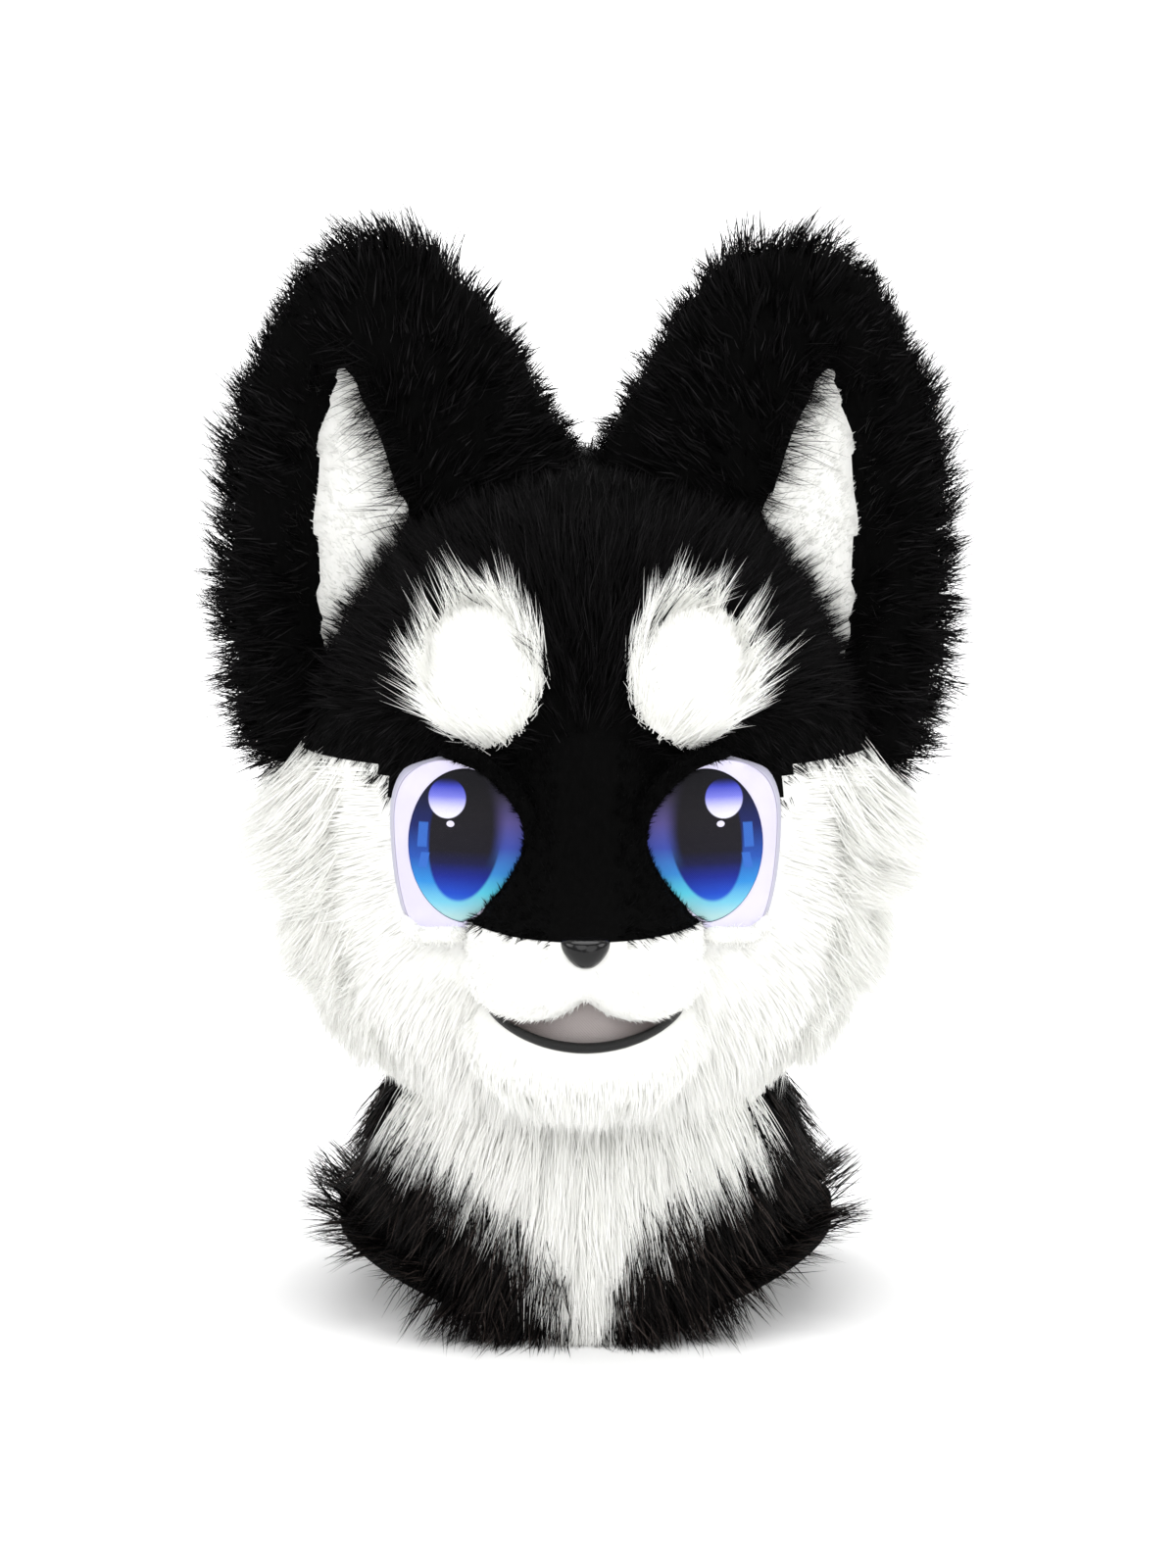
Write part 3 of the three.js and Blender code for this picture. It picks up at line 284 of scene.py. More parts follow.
def neck_sizes(z):
    table = np.array(NECK_SECTIONS)
    flare = smooth(table[:, 0], table[:, 1], z / WAIST_HEIGHT)
    waist = HEAD_SECTIONS[0]
    narrow = (waist[1] * HEAD_SIDE, waist[2] * FACE_DEPTH, waist[3] * BACK_DEPTH)
    wide = (HEM_SIDE, HEM_FRONT, HEM_BACK)
    return tuple(n + (w - n) * flare for n, w in zip(narrow, wide))


def snout_sizes(z):
    table = np.array(SNOUT_SECTIONS)
    share = (z - MUZZLE_HEIGHT) / (BROW_TOP - MUZZLE_HEIGHT)
    width, front = (smooth(table[:, 0], table[:, k], share) for k in (1, 2))
    return width * SNOUT_SIDE, front * (SNOUT_REACH - SNOUT_ROOT)


def head_surface(z, angle):
    x, y = plan_point(*head_sizes(z), angle)
    return np.stack([x, y + MIDDLE_Y, z + 0 * x], axis=-1)


def in_snout(p, grow):
    """Which points lie inside the snout, grown by a distance."""
    side, front = snout_sizes(np.clip(p[:, 2], MUZZLE_HEIGHT, BROW_TOP))
    across = np.abs(p[:, 0]) / (side + grow)
    ahead = np.maximum(0, -(p[:, 1] - MIDDLE_Y) - SNOUT_ROOT) / (front + grow)
    level = (p[:, 2] > MUZZLE_HEIGHT - grow) & (p[:, 2] < BROW_TOP + grow)
    return level & (across**ROUNDNESS + ahead**ROUNDNESS < 1) & (p[:, 1] < MIDDLE_Y)


def seam_height(x):
    """The height of the seam between the white face and the black hood."""
    outer = EYE_OUT + EYE_WIDTH / 2 + EYE_FLARE
    foot = EYE_HEIGHT - EYE_TALL / 2
    return np.interp(np.abs(x), [0, EYE_OUT, outer, 0.3], [MUZZLE_SEAM, foot, 0.2425, 0.2405])


def in_face(p):
    return (p[:, 2] < seam_height(p[:, 0])) & (p[:, 1] - MIDDLE_Y < SIDE_SEAM_DEPTH)


def in_bib(p):
    table = np.array(BIB_OUTLINE)
    half = np.interp(p[:, 2] / WAIST_HEIGHT, table[:, 1], table[:, 0]) * HEAD_SECTIONS[0][1] * HEAD_SIDE
    return (np.abs(p[:, 0]) < half) & (p[:, 1] < MIDDLE_Y - SIDE_SEAM_DEPTH)


def eye_matrix(side):
    place = Matrix.Translation((side * EYE_OUT, MIDDLE_Y - EYE_DEPTH, EYE_HEIGHT))
    return place @ Matrix.Rotation(side * EYE_YAW, 4, "Z")


def eye_outline(side, count=EYE_POINTS):
    flat = closed_outline(EYE_OUTLINE, count)
    return flat * (-side * EYE_WIDTH / 2, EYE_TALL / 2)


def seen_from(matrix, p):
    """Points as told in a frame of their own."""
    back = np.array(matrix.inverted())
    return p @ back[:3, :3].T + back[:3, 3]


def in_eye(p, grow):
    """Which points lie inside either eye bowl, grown by a distance."""
    inside = np.zeros(len(p), bool)
    for side in (-1, 1):
        local = seen_from(eye_matrix(side), p)
        outline = eye_outline(side, 48)
        outline = outline + outward_of(outline) * grow
        deep = (local[:, 1] > EYE_REACH[0]) & (local[:, 1] < EYE_REACH[1])
        inside |= inside_outline(outline, local[:, 0], local[:, 2]) & deep
    return inside


def smile_height(x):
    return SMILE_LOW + SMILE_RISE * (np.abs(x) / JAW_SIDE) ** 2


def hem_height(p):
    """The height of the neck's lower edge, which rises over both shoulders."""
    run = np.clip((p[:, 1] - MIDDLE_Y) / (HEM_ARCH_LENGTH / 2), -1, 1)
    return np.sqrt(1 - run**2) * HEM_ARCH_HEIGHT * fade(0.015, 0.05, np.abs(p[:, 0]))


def ear_thickness(z):
    return EAR_THICK + (EAR_TIP_THICK - EAR_THICK) * np.clip((z - EAR_FOOT) / EAR_TALL, 0, 1)


# Making pieces

def finished(ob, name, finish, replaces=()):
    """Names a piece, gives it its finish, hangs it under the root body and hides the parts that it replaces.
    """
    ob.name = name
    ob.data.name = name
    ob.data.materials.clear()
    ob.data.materials.append(finish)
    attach(ob, "root")
    if replaces:
        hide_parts(*replaces)
    return ob


def only(ob):
    """Makes an object the one that the next operator works on."""
    if bpy.context.object and bpy.context.object.mode != "OBJECT":
        bpy.ops.object.mode_set(mode="OBJECT")
    bpy.ops.object.select_all(action="DESELECT")
    ob.select_set(True)
    bpy.context.view_layer.objects.active = ob
    return ob


def places(ob):
    flat = np.empty(3 * len(ob.data.vertices))
    ob.data.vertices.foreach_get("co", flat)
    return flat.reshape(-1, 3)


def move(ob, points):
    ob.data.vertices.foreach_set("co", np.asarray(points, float).ravel())
    ob.data.update()


def ball(columns, rows):
    bpy.ops.mesh.primitive_uv_sphere_add(segments=columns, ring_count=rows, radius=1)
    return bpy.context.object


def shaped_ball(columns, rows, place_at):
    """A ball whose every point is moved to place_at(share down from its top, angle)."""
    ob = ball(columns, rows)
    p = places(ob)
    share = np.arccos(np.clip(p[:, 2], -1, 1)) / math.pi
    move(ob, place_at(share, np.arctan2(p[:, 1], p[:, 0])))
    return ob


def between_poles(share, rows):
    """0 at the first ring of a ball under its top point and 1 at its last."""
    return np.clip((share * rows - 1) / (rows - 2), 0, 1)


def column_at(angle, columns):
    """Which column of a ball lies at an angle."""
    return np.round((angle / (2 * math.pi) % 1) * columns).astype(int) % columns


def choose(ob, kind, test):
    """Selects in edit mode the vertices or faces whose middles pass a test."""
    only(ob)
    bpy.ops.object.mode_set(mode="EDIT")
    bpy.ops.mesh.select_mode(type={"verts": "VERT", "faces": "FACE"}[kind])
    bpy.ops.mesh.select_all(action="DESELECT")
    bpy.ops.object.mode_set(mode="OBJECT")
    items = ob.data.vertices if kind == "verts" else ob.data.polygons
    flat = np.empty(3 * len(items))
    items.foreach_get("co" if kind == "verts" else "center", flat)
    items.foreach_set("select", test(flat.reshape(-1, 3)))
    bpy.ops.object.mode_set(mode="EDIT")


def cut_away(ob, test, kind="faces"):
    """Deletes the vertices or faces whose middles pass a test."""
    choose(ob, kind, test)
    bpy.ops.mesh.delete(type="FACE" if kind == "faces" else "VERT")
    bpy.ops.object.mode_set(mode="OBJECT")
    return ob


def split_off(ob, test):
    """Moves the faces whose middles pass a test to a piece of their own."""
    choose(ob, "faces", test)
    bpy.ops.mesh.separate(type="SELECTED")
    bpy.ops.object.mode_set(mode="OBJECT")
    return next(o for o in bpy.context.selected_objects if o is not ob)


def modified(ob, kind, **settings):
    """Adds a modifier and applies it."""
    only(ob)
    modifier = ob.modifiers.new("work", kind)
    for key, value in settings.items():
        setattr(modifier, key, value)
    bpy.ops.object.modifier_apply(modifier=modifier.name)
    return ob


def walled(ob, thickness):
    """Gives an open skin its wall, inwards."""
    return modified(ob, "SOLIDIFY", thickness=thickness, offset=-1, use_even_offset=False)


def on_floor(ob):
    p = places(ob)
    p[:, 2] = np.maximum(p[:, 2], 0)
    move(ob, p)
    return ob


def smoothed(ob):
    only(ob)
    bpy.ops.object.shade_smooth()
    return ob


def placed(ob, matrix):
    """Puts a piece made about its own middle where it belongs, in its mesh."""
    ob.data.transform(matrix)
    ob.data.update()
    return ob


class Skin:
    """The outer skin of a piece, where hair is rooted."""

    def __init__(self, ob):
        """Sorts points and triangles, whose order in a mesh can change from one run to the next."""
        points = places(ob)
        order = np.lexsort(np.round(points, 6).T)
        rank = np.argsort(order, kind="stable").tolist()
        self.points = points[order]
        triangles = []
        for face in ob.data.polygons:
            ring = [rank[i] for i in face.vertices]
            first = ring.index(min(ring))
            ring = ring[first:] + ring[:first]
            triangles += [(ring[0], ring[k], ring[k + 1]) for k in range(1, len(ring) - 1)]
        self.corners = np.array(sorted(triangles))
        a, b, c = (self.points[self.corners[:, k]] for k in range(3))
        across = np.cross(b - a, c - a)
        self.areas = np.linalg.norm(across, axis=1) / 2
        self.normals = np.zeros_like(self.points)
        for k in range(3):
            np.add.at(self.normals, self.corners[:, k], across)
        self.normals = unit(self.normals)

    def scatter(self, spacing, rng, keep=None):
        """Random roots, about one to each square of a spacing, with their normals."""
        count = int(self.areas.sum() / spacing**2)
        face = rng.choice(len(self.areas), count, p=self.areas / self.areas.sum())
        r, s = rng.random(count), rng.random(count)
        flip = r + s > 1
        r, s = np.where(flip, 1 - r, r), np.where(flip, 1 - s, s)
        shares = np.stack([1 - r - s, r, s], axis=1)[:, :, None]
        roots = (self.points[self.corners[face]] * shares).sum(1)
        normals = unit((self.normals[self.corners[face]] * shares).sum(1))
        if keep is not None:
            mask = keep(roots)
            roots, normals = roots[mask], normals[mask]
        return roots, normals


def along_skin(direction, normals):
    """A direction laid onto the skin."""
    direction = np.broadcast_to(direction, normals.shape)
    return unit(direction - normals * np.sum(direction * normals, axis=1, keepdims=True))


def comb(name, finish, roots, normals, flow, length, rng, width=0.0006, strands=8, spread=0.002,
         lift=0.35, clump=0.55, droop=0.15, curl=0.12, twist=0.5, steps=3, keep=None, floor=0.0004):
    """Tufts of tapering hairs: each root carries some round one guide that bends along the flow."""
    m = len(roots)
    length = np.broadcast_to(length, m)
    lift = np.broadcast_to(lift, m)[:, None]
    guide_way = unit(flow * (1 - lift) + normals * lift + rng.normal(0, curl, (m, 3)))
    guide_bend = flow * 0.25 + (0, 0, -1) * np.array(droop) + rng.normal(0, curl, (m, 3))
    side_a = np.cross(normals, flow)
    steep = np.linalg.norm(side_a, axis=1) < 0.3
    side_a[steep] = np.cross(normals[steep], (0.3, 0.2, 1.0))
    side_a = unit(side_a)
    side_b = np.cross(side_a, normals)
    pick = np.repeat(np.arange(m), strands)
    n = len(pick)
    offset = rng.normal(0, spread, (n, 2))
    base = roots[pick] + side_a[pick] * offset[:, :1] + side_b[pick] * offset[:, 1:]
    base = base - normals[pick] * 0.001
    way = unit(guide_way[pick] + rng.normal(0, curl, (n, 3)))
    bend = guide_bend[pick] + rng.normal(0, curl / 2, (n, 3))
    own = length[pick] * rng.uniform(0.62, 1.12, n) * np.where(rng.random(n) < 0.06, 1.22, 1.0)
    across = unit(np.cross(way, normals[pick] + twist * rng.normal(0, 1, (n, 3))))
    thick = width * rng.uniform(0.7, 1.25, n)
    rows = []
    for k in range(steps + 1):
        t = k / steps
        mine = base + own[:, None] * (t * way + t * t * bend)
        lead = roots[pick] + length[pick][:, None] * (t * guide_way[pick] + t * t * guide_bend[pick])
        mine = mine + clump * t**1.4 * (lead - mine) * np.minimum(1, own / length[pick])[:, None]
        rows.append(mine)
    tips = rows[-1]
    mask = (np.abs(tips[:, 0]) < HAIR_LIMIT[0]) & (np.abs(tips[:, 1]) < HAIR_LIMIT[1])
    if keep is not None:
        mask &= keep(tips)
    rows = [row[mask] for row in rows]
    across, thick, n = across[mask], thick[mask], int(mask.sum())
    taper = [0.85 * (1 - (k / steps) ** 2.2) + 0.15 * (k == 0) for k in range(steps)]
    points = np.empty((n, 2 * steps + 1, 3))
    for k in range(steps):
        half = across * (thick * taper[k] / 2)[:, None]
        points[:, 2 * k] = rows[k] - half
        points[:, 2 * k + 1] = rows[k] + half
    points[:, -1] = rows[-1]
    points[:, :, 2] = np.maximum(points[:, :, 2], floor)
    return hair_mesh(name, finish, points, steps, rng)


def hair_mesh(name, finish, points, steps, rng):
    """One mesh of all the hairs, each a tapering strip whose map runs from root to tip."""
    n = len(points)
    each = 2 * steps + 1
    corners, starts, map_u, map_v = [], [], [], []
    count = 0
    for k in range(steps - 1):
        corners += [2 * k, 2 * k + 1, 2 * k + 3, 2 * k + 2]
        map_u += [-1, 1, 1, -1]
        map_v += [k, k, k + 1, k + 1]
        starts.append(count)
        count += 4
    corners += [2 * steps - 2, 2 * steps - 1, 2 * steps]
    map_u += [-1, 1, 0]
    map_v += [steps - 1, steps - 1, steps]
    starts.append(count)
    count += 3
    me = bpy.data.meshes.new(name)
    me.vertices.add(n * each)
    me.vertices.foreach_set("co", points.ravel())
    me.loops.add(n * count)
    me.loops.foreach_set("vertex_index", (np.array(corners) + each * np.arange(n)[:, None]).ravel())
    me.polygons.add(n * len(starts))
    me.polygons.foreach_set("loop_start", (np.array(starts) + count * np.arange(n)[:, None]).ravel())
    me.polygons.foreach_set("use_smooth", np.ones(n * len(starts), bool))
    me.update(calc_edges=True)
    column = (rng.integers(0, HAIR_COLUMNS, n)[:, None] + 0.5 + 0.3 * np.array(map_u)) / HAIR_COLUMNS
    row = np.broadcast_to(0.02 + 0.96 * np.array(map_v) / steps, column.shape)
    layer = me.uv_layers.new(name="OFBake")
    layer.data.foreach_set("uv", np.stack([column, row], axis=-1).ravel())
    ob = bpy.data.objects.new(name, me)
    bpy.context.collection.objects.link(ob)
    return finished(ob, name, finish)


# Finishes

class Value:
    """A number inside a finish; sums, products and the like add Math nodes."""

    def __init__(self, finish, socket):
        self.finish = finish
        self.socket = socket

    def worked(self, operation, *others, turned=False):
        values = [self, *others]
        if turned:
            values = values[::-1]
        node = self.finish.add("ShaderNodeMath", {"operation": operation}, dict(enumerate(values)))
        return Value(self.finish, node.outputs[0])

    def __add__(self, other):
        return self.worked("ADD", other)

    __radd__ = __add__

    def __sub__(self, other):
        return self.worked("SUBTRACT", other)

    def __rsub__(self, other):
        return self.worked("SUBTRACT", other, turned=True)

    def __mul__(self, other):
        return self.worked("MULTIPLY", other)

    __rmul__ = __mul__

    def __truediv__(self, other):
        return self.worked("DIVIDE", other)

    def __pow__(self, other):
        return self.worked("POWER", other)

    def __neg__(self):
        return self * -1

    def __abs__(self):
        return self.worked("ABSOLUTE")

    def root_of(self):
        return self.worked("SQRT")

    def sine(self):
        return self.worked("SINE")

    def least(self, other):
        return self.worked("MINIMUM", other)

    def most(self, other):
        return self.worked("MAXIMUM", other)

    def fade(self, low, high):
        """0 at low, 1 at high and smooth between."""
        settings = {"interpolation_type": "SMOOTHSTEP"}
        sockets = {"Value": self, "From Min": low, "From Max": high}
        return Value(self.finish, self.finish.add("ShaderNodeMapRange", settings, sockets).outputs[0])


class Finish:
    """A finish under construction: one method adds every node."""

    def __init__(self, name, **shader):
        self.material = bpy.data.materials.new(name)
        self.material.use_nodes = True
        self.tree = self.material.node_tree
        self.tree.nodes.clear()
        values = {key.replace("_", " ").title(): value for key, value in shader.items()}
        if "Specular Level" in values:
            values["Specular IOR Level"] = values.pop("Specular Level")
        self.shader = self.add("ShaderNodeBsdfPrincipled", {}, values)
        self.output = self.add("ShaderNodeOutputMaterial", {}, {"Surface": self.shader.outputs[0]})

    def add(self, kind, settings=None, sockets=None):
        """A node of a kind, its settings first, then the values or links of its sockets."""
        node = self.tree.nodes.new(kind)
        for key, value in (settings or {}).items():
            if key == "stops":
                self._stops(node, value)
            else:
                setattr(node, key, value)
        for key, value in (sockets or {}).items():
            self.feed(node, key, value)
        return node

    def _stops(self, node, stops):
        elements = node.color_ramp.elements
        for place, colour in stops[2:]:
            elements.new(place)
        for element, (place, colour) in zip(elements, sorted(stops, key=lambda s: s[0])):
            element.position = place
            element.color = (*colour, 1)

    def feed(self, node, key, value):
        socket = node.inputs[key]
        if isinstance(value, Value):
            value = value.socket
        if isinstance(value, bpy.types.NodeSocket):
            self.tree.links.new(value, socket)
        elif isinstance(value, tuple) and len(value) == 3 and socket.type == "RGBA":
            socket.default_value = (*value, 1)
        else:
            socket.default_value = value

    def show(self, node):
        self.feed(self.output, "Surface", node.outputs[0])

    def paint(self, **sockets):
        """Feeds the finish's own shader."""
        for key, value in sockets.items():
            self.feed(self.shader, key.replace("_", " ").title(), value)
        return self.material

    def object_place(self):
        return self.add("ShaderNodeTexCoord").outputs["Object"]

    def parts(self, vector):
        node = self.add("ShaderNodeSeparateXYZ", {}, {0: vector})
        return tuple(Value(self, output) for output in node.outputs)

    def noise(self, scale, detail=2.0, place=None, stretch=None):
        place = place or self.object_place()
        if stretch:
            place = self.add("ShaderNodeMapping", {}, {"Vector": place, "Scale": stretch}).outputs[0]
        node = self.add("ShaderNodeTexNoise", {}, {"Vector": place, "Scale": scale, "Detail": detail})
        return Value(self, node.outputs[0])

    def ramp(self, value, stops):
        return self.add("ShaderNodeValToRGB", {"stops": stops}, {"Fac": value}).outputs[0]

    def mix(self, share, first, second):
        node = self.add("ShaderNodeMix", {"data_type": "RGBA"}, {0: share, 6: first, 7: second})
        return node.outputs[2]

    def bump(self, height, distance, strength=1.0):
        sockets = {"Height": height, "Distance": distance, "Strength": strength}
        return self.add("ShaderNodeBump", {}, sockets).outputs[0]


def linear(r, g, b):
    """A colour as the eye reads it, 0 to 255, in the shader's own terms."""
    shares = [v / 255 for v in (r, g, b)]
    return tuple(v / 12.92 if v <= 0.04045 else ((v + 0.055) / 1.055) ** 2.4 for v in shares)


def hair_finish(name, root, tip, pale, roughness, gloss, rare, through=0.0):
    """Hair that changes from root to tip, with some strands paler than others."""
    made = Finish(name, roughness=roughness, specular_level=gloss)
    place = made.add("ShaderNodeUVMap", {"uv_map": "OFBake"}).outputs[0]
    strand, along, _ = made.parts(place)
    column = (strand * HAIR_COLUMNS).worked("FLOOR")
    noise = made.add("ShaderNodeTexWhiteNoise", {"noise_dimensions": "1D"}, {"W": column})
    odd = Value(made, noise.outputs[0])
    colour = made.mix(along.fade(0.1, 0.95), linear(*root), linear(*tip))
    colour = made.mix(odd.fade(rare, 1.0) * along.fade(0.15, 0.7), colour, linear(*pale))
    if through:
        thin = made.add("ShaderNodeBsdfTranslucent", {}, {"Color": colour})
        both = {0: through, 1: made.shader.outputs[0], 2: thin.outputs[0]}
        made.show(made.add("ShaderNodeMixShader", {}, both))
    return made.paint(base_color=colour)


def backing_finish(name, dark, light, roughness, depth):
    """The felted backing under the hair, as short curled pile."""
    made = Finish(name, roughness=roughness, specular_level=0.05)
    coarse = made.noise(60, 4)
    fine = made.noise(420, 3, stretch=(1, 1, 0.35))
    height = fine * 0.7 + coarse * 0.3
    colour = made.ramp(height, [(0.3, linear(*dark)), (0.7, linear(*light))])
    return made.paint(base_color=colour, normal=made.bump(height, depth, 0.6))


# Root, tip and paler strands, then roughness, gloss, how rare paler strands are and light let through.
# In the black hair the paler strands are painted sheen: grey streaks that stand for light caught on the black
# fur.
BLACK_HAIR = hair_finish("black_hair", (1, 1, 1), (6, 5, 6), (31, 30, 31), 0.5, 0.05, 0.7)
NECK_HAIR = hair_finish("neck_hair", (2, 2, 2), (12, 10, 10), (66, 58, 55), 0.5, 0.08, 0.55)
BLACK_NAP = hair_finish("black_nap", (1, 1, 1), (4, 4, 4), (12, 12, 13), 0.8, 0.04, 0.6)
WHITE_HAIR = hair_finish("white_hair", (249, 249, 246), (253, 253, 251), (243, 243, 239),
                         0.7, 0.08, 0.5, 0.3)
WHITE_NAP = hair_finish("white_nap", (238, 238, 235), (242, 242, 240), (234, 234, 231),
                        0.8, 0.05, 0.5, 0.25)
BLACK_BACKING = backing_finish("black_backing", (1, 1, 1), (4, 4, 4), 0.95, 0.0006)
WHITE_BACKING = backing_finish("white_backing", (234, 234, 230), (242, 242, 239), 0.95, 0.0006)


# Head, face and ears

def head_skin():
    """The whole head as one skin, open at the waist."""
    rows = 84

    def place_at(share, angle):
        step = 1 / rows
        t = np.clip((share - step) / (1 - 2 * step), 0, 1)
        z = WAIST_HEIGHT + (CROWN_HEIGHT - WAIST_HEIGHT) * np.cos(t * math.pi / 2)
        p = head_surface(z, angle)
        pole = share < step / 2
        p[pole] = (0, MIDDLE_Y, CROWN_HEIGHT + 0.0006)
        p[share > 1 - step / 2] = (0, MIDDLE_Y, 0)
        return p

    ob = shaped_ball(112, rows, place_at)
    return cut_away(ob, lambda p: p[:, 2] < WAIST_HEIGHT / 2, "verts")


def ear_skin(side):
    """The ear plate with a rolled rim and crowned faces."""
    flat = closed_outline(EAR_OUTLINE, EAR_POINTS) * (-side * EAR_WIDTH, EAR_TALL)
    flat = flat + (side * EAR_REACH, EAR_FOOT)
    middle = (flat.max(0) + flat.min(0)) / 2
    columns, rows = len(flat), 40

    def place_at(share, angle):
        column = column_at(angle, columns)
        across = np.cos(share * math.pi)
        reach = np.sin(share * math.pi) ** 0.42
        rim = flat[column]
        p = middle + (rim - middle) * reach[:, None]
        thick = ear_thickness(p[:, 1]) / 2
        y = -EAR_OFFSET + np.sign(across) * np.abs(across) ** 0.55 * thick
        return np.stack([p[:, 0], y + MIDDLE_Y, p[:, 1]], axis=1)

    return shaped_ball(columns, rows, place_at)


def lining_flat(side):
    """The outline of the inner ear."""
    flat = closed_outline(LINING_OUTLINE, LINING_POINTS) * (-side * LINING_WIDTH, LINING_TALL)
    return flat + (side * (EAR_REACH - LINING_INSET * EAR_WIDTH), EAR_FOOT + LINING_RISE * EAR_TALL)


def pressed_in(ob, side):
    """Presses the pocket for the lining into the front of the ear."""
    p = places(ob)
    flat = lining_flat(side)
    outward = outward_of(flat)
    front = p[:, 1] < MIDDLE_Y - EAR_OFFSET
    grown = [flat + outward * grow for grow in (0.001, -0.001, -0.003)]
    share = sum(inside_outline(outline, p[:, 0], p[:, 2]) for outline in grown) / len(grown)
    p[:, 1] += front * share * (LINING_RECESS + 0.003)
    move(ob, p)
    return ob


def lining_pad(side):
    """The white pad of the inner ear."""
    flat = lining_flat(side)
    middle = (flat.max(0) + flat.min(0)) / 2

    def place_at(share, angle):
        column = column_at(angle, len(flat))
        reach = np.sin(share * math.pi) ** 0.3
        p = middle + (flat[column] - middle) * reach[:, None]
        face = -EAR_OFFSET - ear_thickness(p[:, 1]) / 2 + LINING_RECESS
        y = face + LINING_THICK * (1 + np.cos(share * math.pi)) / 2
        y = y - 0.0015 * (1 - reach) - 0.0006 * np.sin(p[:, 1] * 190) * reach
        return np.stack([p[:, 0], y + MIDDLE_Y, p[:, 1]], axis=1)

    return shaped_ball(len(flat), 24, place_at)


def snout_skin():
    """The snout from the flat under it up to the brow."""
    rows = 56

    def place_at(share, angle):
        t = between_poles(share, rows)
        z = BROW_TOP + (MUZZLE_HEIGHT - BROW_TOP) * t
        side, front = snout_sizes(z)
        x, y = plan_point(side, front, 0.02 + 0 * front, angle)
        pole = (share < 0.5 / rows) | (share > 1 - 0.5 / rows)
        x, y = np.where(pole, 0, x), np.where(pole, -0.02, y)
        return np.stack([x, y - SNOUT_ROOT + MIDDLE_Y, z], axis=1)

    return shaped_ball(80, rows, place_at)


def puff(side):
    """One puff of the upper lip."""
    middle = (side * PUFF_SPACING / 2, MIDDLE_Y + PUFF_DEPTH - SNOUT_REACH, MUZZLE_HEIGHT + PUFF_RISE)
    ob = ball(40, 24)
    move(ob, places(ob) * (PUFF_RADIUS, PUFF_DEPTH, PUFF_DROP) + middle)
    return ob


def halved(ob, height, keep_low):
    """Cuts a closed piece at a height and closes the cut."""
    only(ob)
    bpy.ops.object.mode_set(mode="EDIT")
    bpy.ops.mesh.select_all(action="SELECT")
    bpy.ops.mesh.bisect(plane_co=(0, 0, height), plane_no=(0, 0, 1), use_fill=True,
                        clear_outer=keep_low, clear_inner=not keep_low)
    bpy.ops.object.mode_set(mode="OBJECT")
    return ob


def joined(first, *others):
    only(first)
    for ob in others:
        ob.select_set(True)
    bpy.ops.object.join()
    return bpy.context.object


def melted(ob, voxel, rounds):
    """Melts overlapping bodies into one soft body."""
    modified(ob, "REMESH", mode="VOXEL", voxel_size=voxel)
    modified(ob, "SMOOTH", factor=0.5, iterations=rounds)
    return ob


def muzzle_pad():
    """The white muzzle: the snout's lower part and its two puffs in one soft body."""
    ob = joined(halved(snout_skin(), MUZZLE_SEAM + 0.004, True), puff(-1), puff(1))
    return halved(melted(ob, 0.0021, 5), MUZZLE_SEAM - 0.0003, True)


def bridge_pad():
    """The black mask between the eyes."""
    pad = halved(snout_skin(), MUZZLE_SEAM, False)
    return socket_cut(socket_cut(facing_out(pad), -1), 1)


def jaw_pad():
    """The lower jaw, dished along the smile."""
    def place_at(share, angle):
        z = JAW_HEIGHT + JAW_HALF * np.cos(share * math.pi)
        x = JAW_SIDE * np.sin(share * math.pi) * np.cos(angle)
        y = JAW_LENGTH * np.sin(share * math.pi) * np.sin(angle)
        return np.stack([x, y - JAW_ROOT + MIDDLE_Y, np.minimum(z, smile_height(x) - 0.0006)], axis=1)

    return shaped_ball(64, 40, place_at)


def mouth_pad():
    """The cloth inside the mouth."""
    def place_at(share, angle):
        z = JAW_HEIGHT + PUFF_DROP / 2 + JAW_HALF * np.cos(share * math.pi)
        x = (JAW_SIDE - 2 * LIP_RADIUS) * np.sin(share * math.pi) * np.cos(angle)
        y = (JAW_LENGTH - MOUTH_RECESS) * np.sin(share * math.pi) * np.sin(angle)
        z = np.clip(z, smile_height(x) + 0.0003, MUZZLE_HEIGHT + 0.002)
        return np.stack([x, y - JAW_ROOT + MIDDLE_Y, z], axis=1)

    return shaped_ball(56, 32, place_at)


def lip_roll():
    """The rolled lip on the rim of the jaw, thin where its ends rise beside the muzzle."""
    angle = np.linspace(math.pi * 0.035, math.pi * 0.965, 49)
    x = np.cos(angle) * JAW_SIDE
    for _ in range(12):
        z = smile_height(x) + LIP_UP - LIP_SAG * (x / JAW_SIDE) ** 2
        slice_ = np.sqrt(1 - ((z - JAW_HEIGHT) / JAW_HALF) ** 2)
        x = np.cos(angle) * JAW_SIDE * slice_
    y = MIDDLE_Y - JAW_ROOT - np.sin(angle) * JAW_LENGTH * slice_
    path = np.stack([x, y, z], axis=1)
    for end, last in ((0, 0), (len(path), -1)):
        rise = path[last] + np.array((np.sign(path[last, 0]), 1, 1)) * LIP_END
        path = np.insert(path, end, rise, axis=0)
    thin = np.sin(np.linspace(0, math.pi, len(path))) ** 1.1
    return rolled("lip", path, LIP_RADIUS, 0.32 + 0.62 * thin)


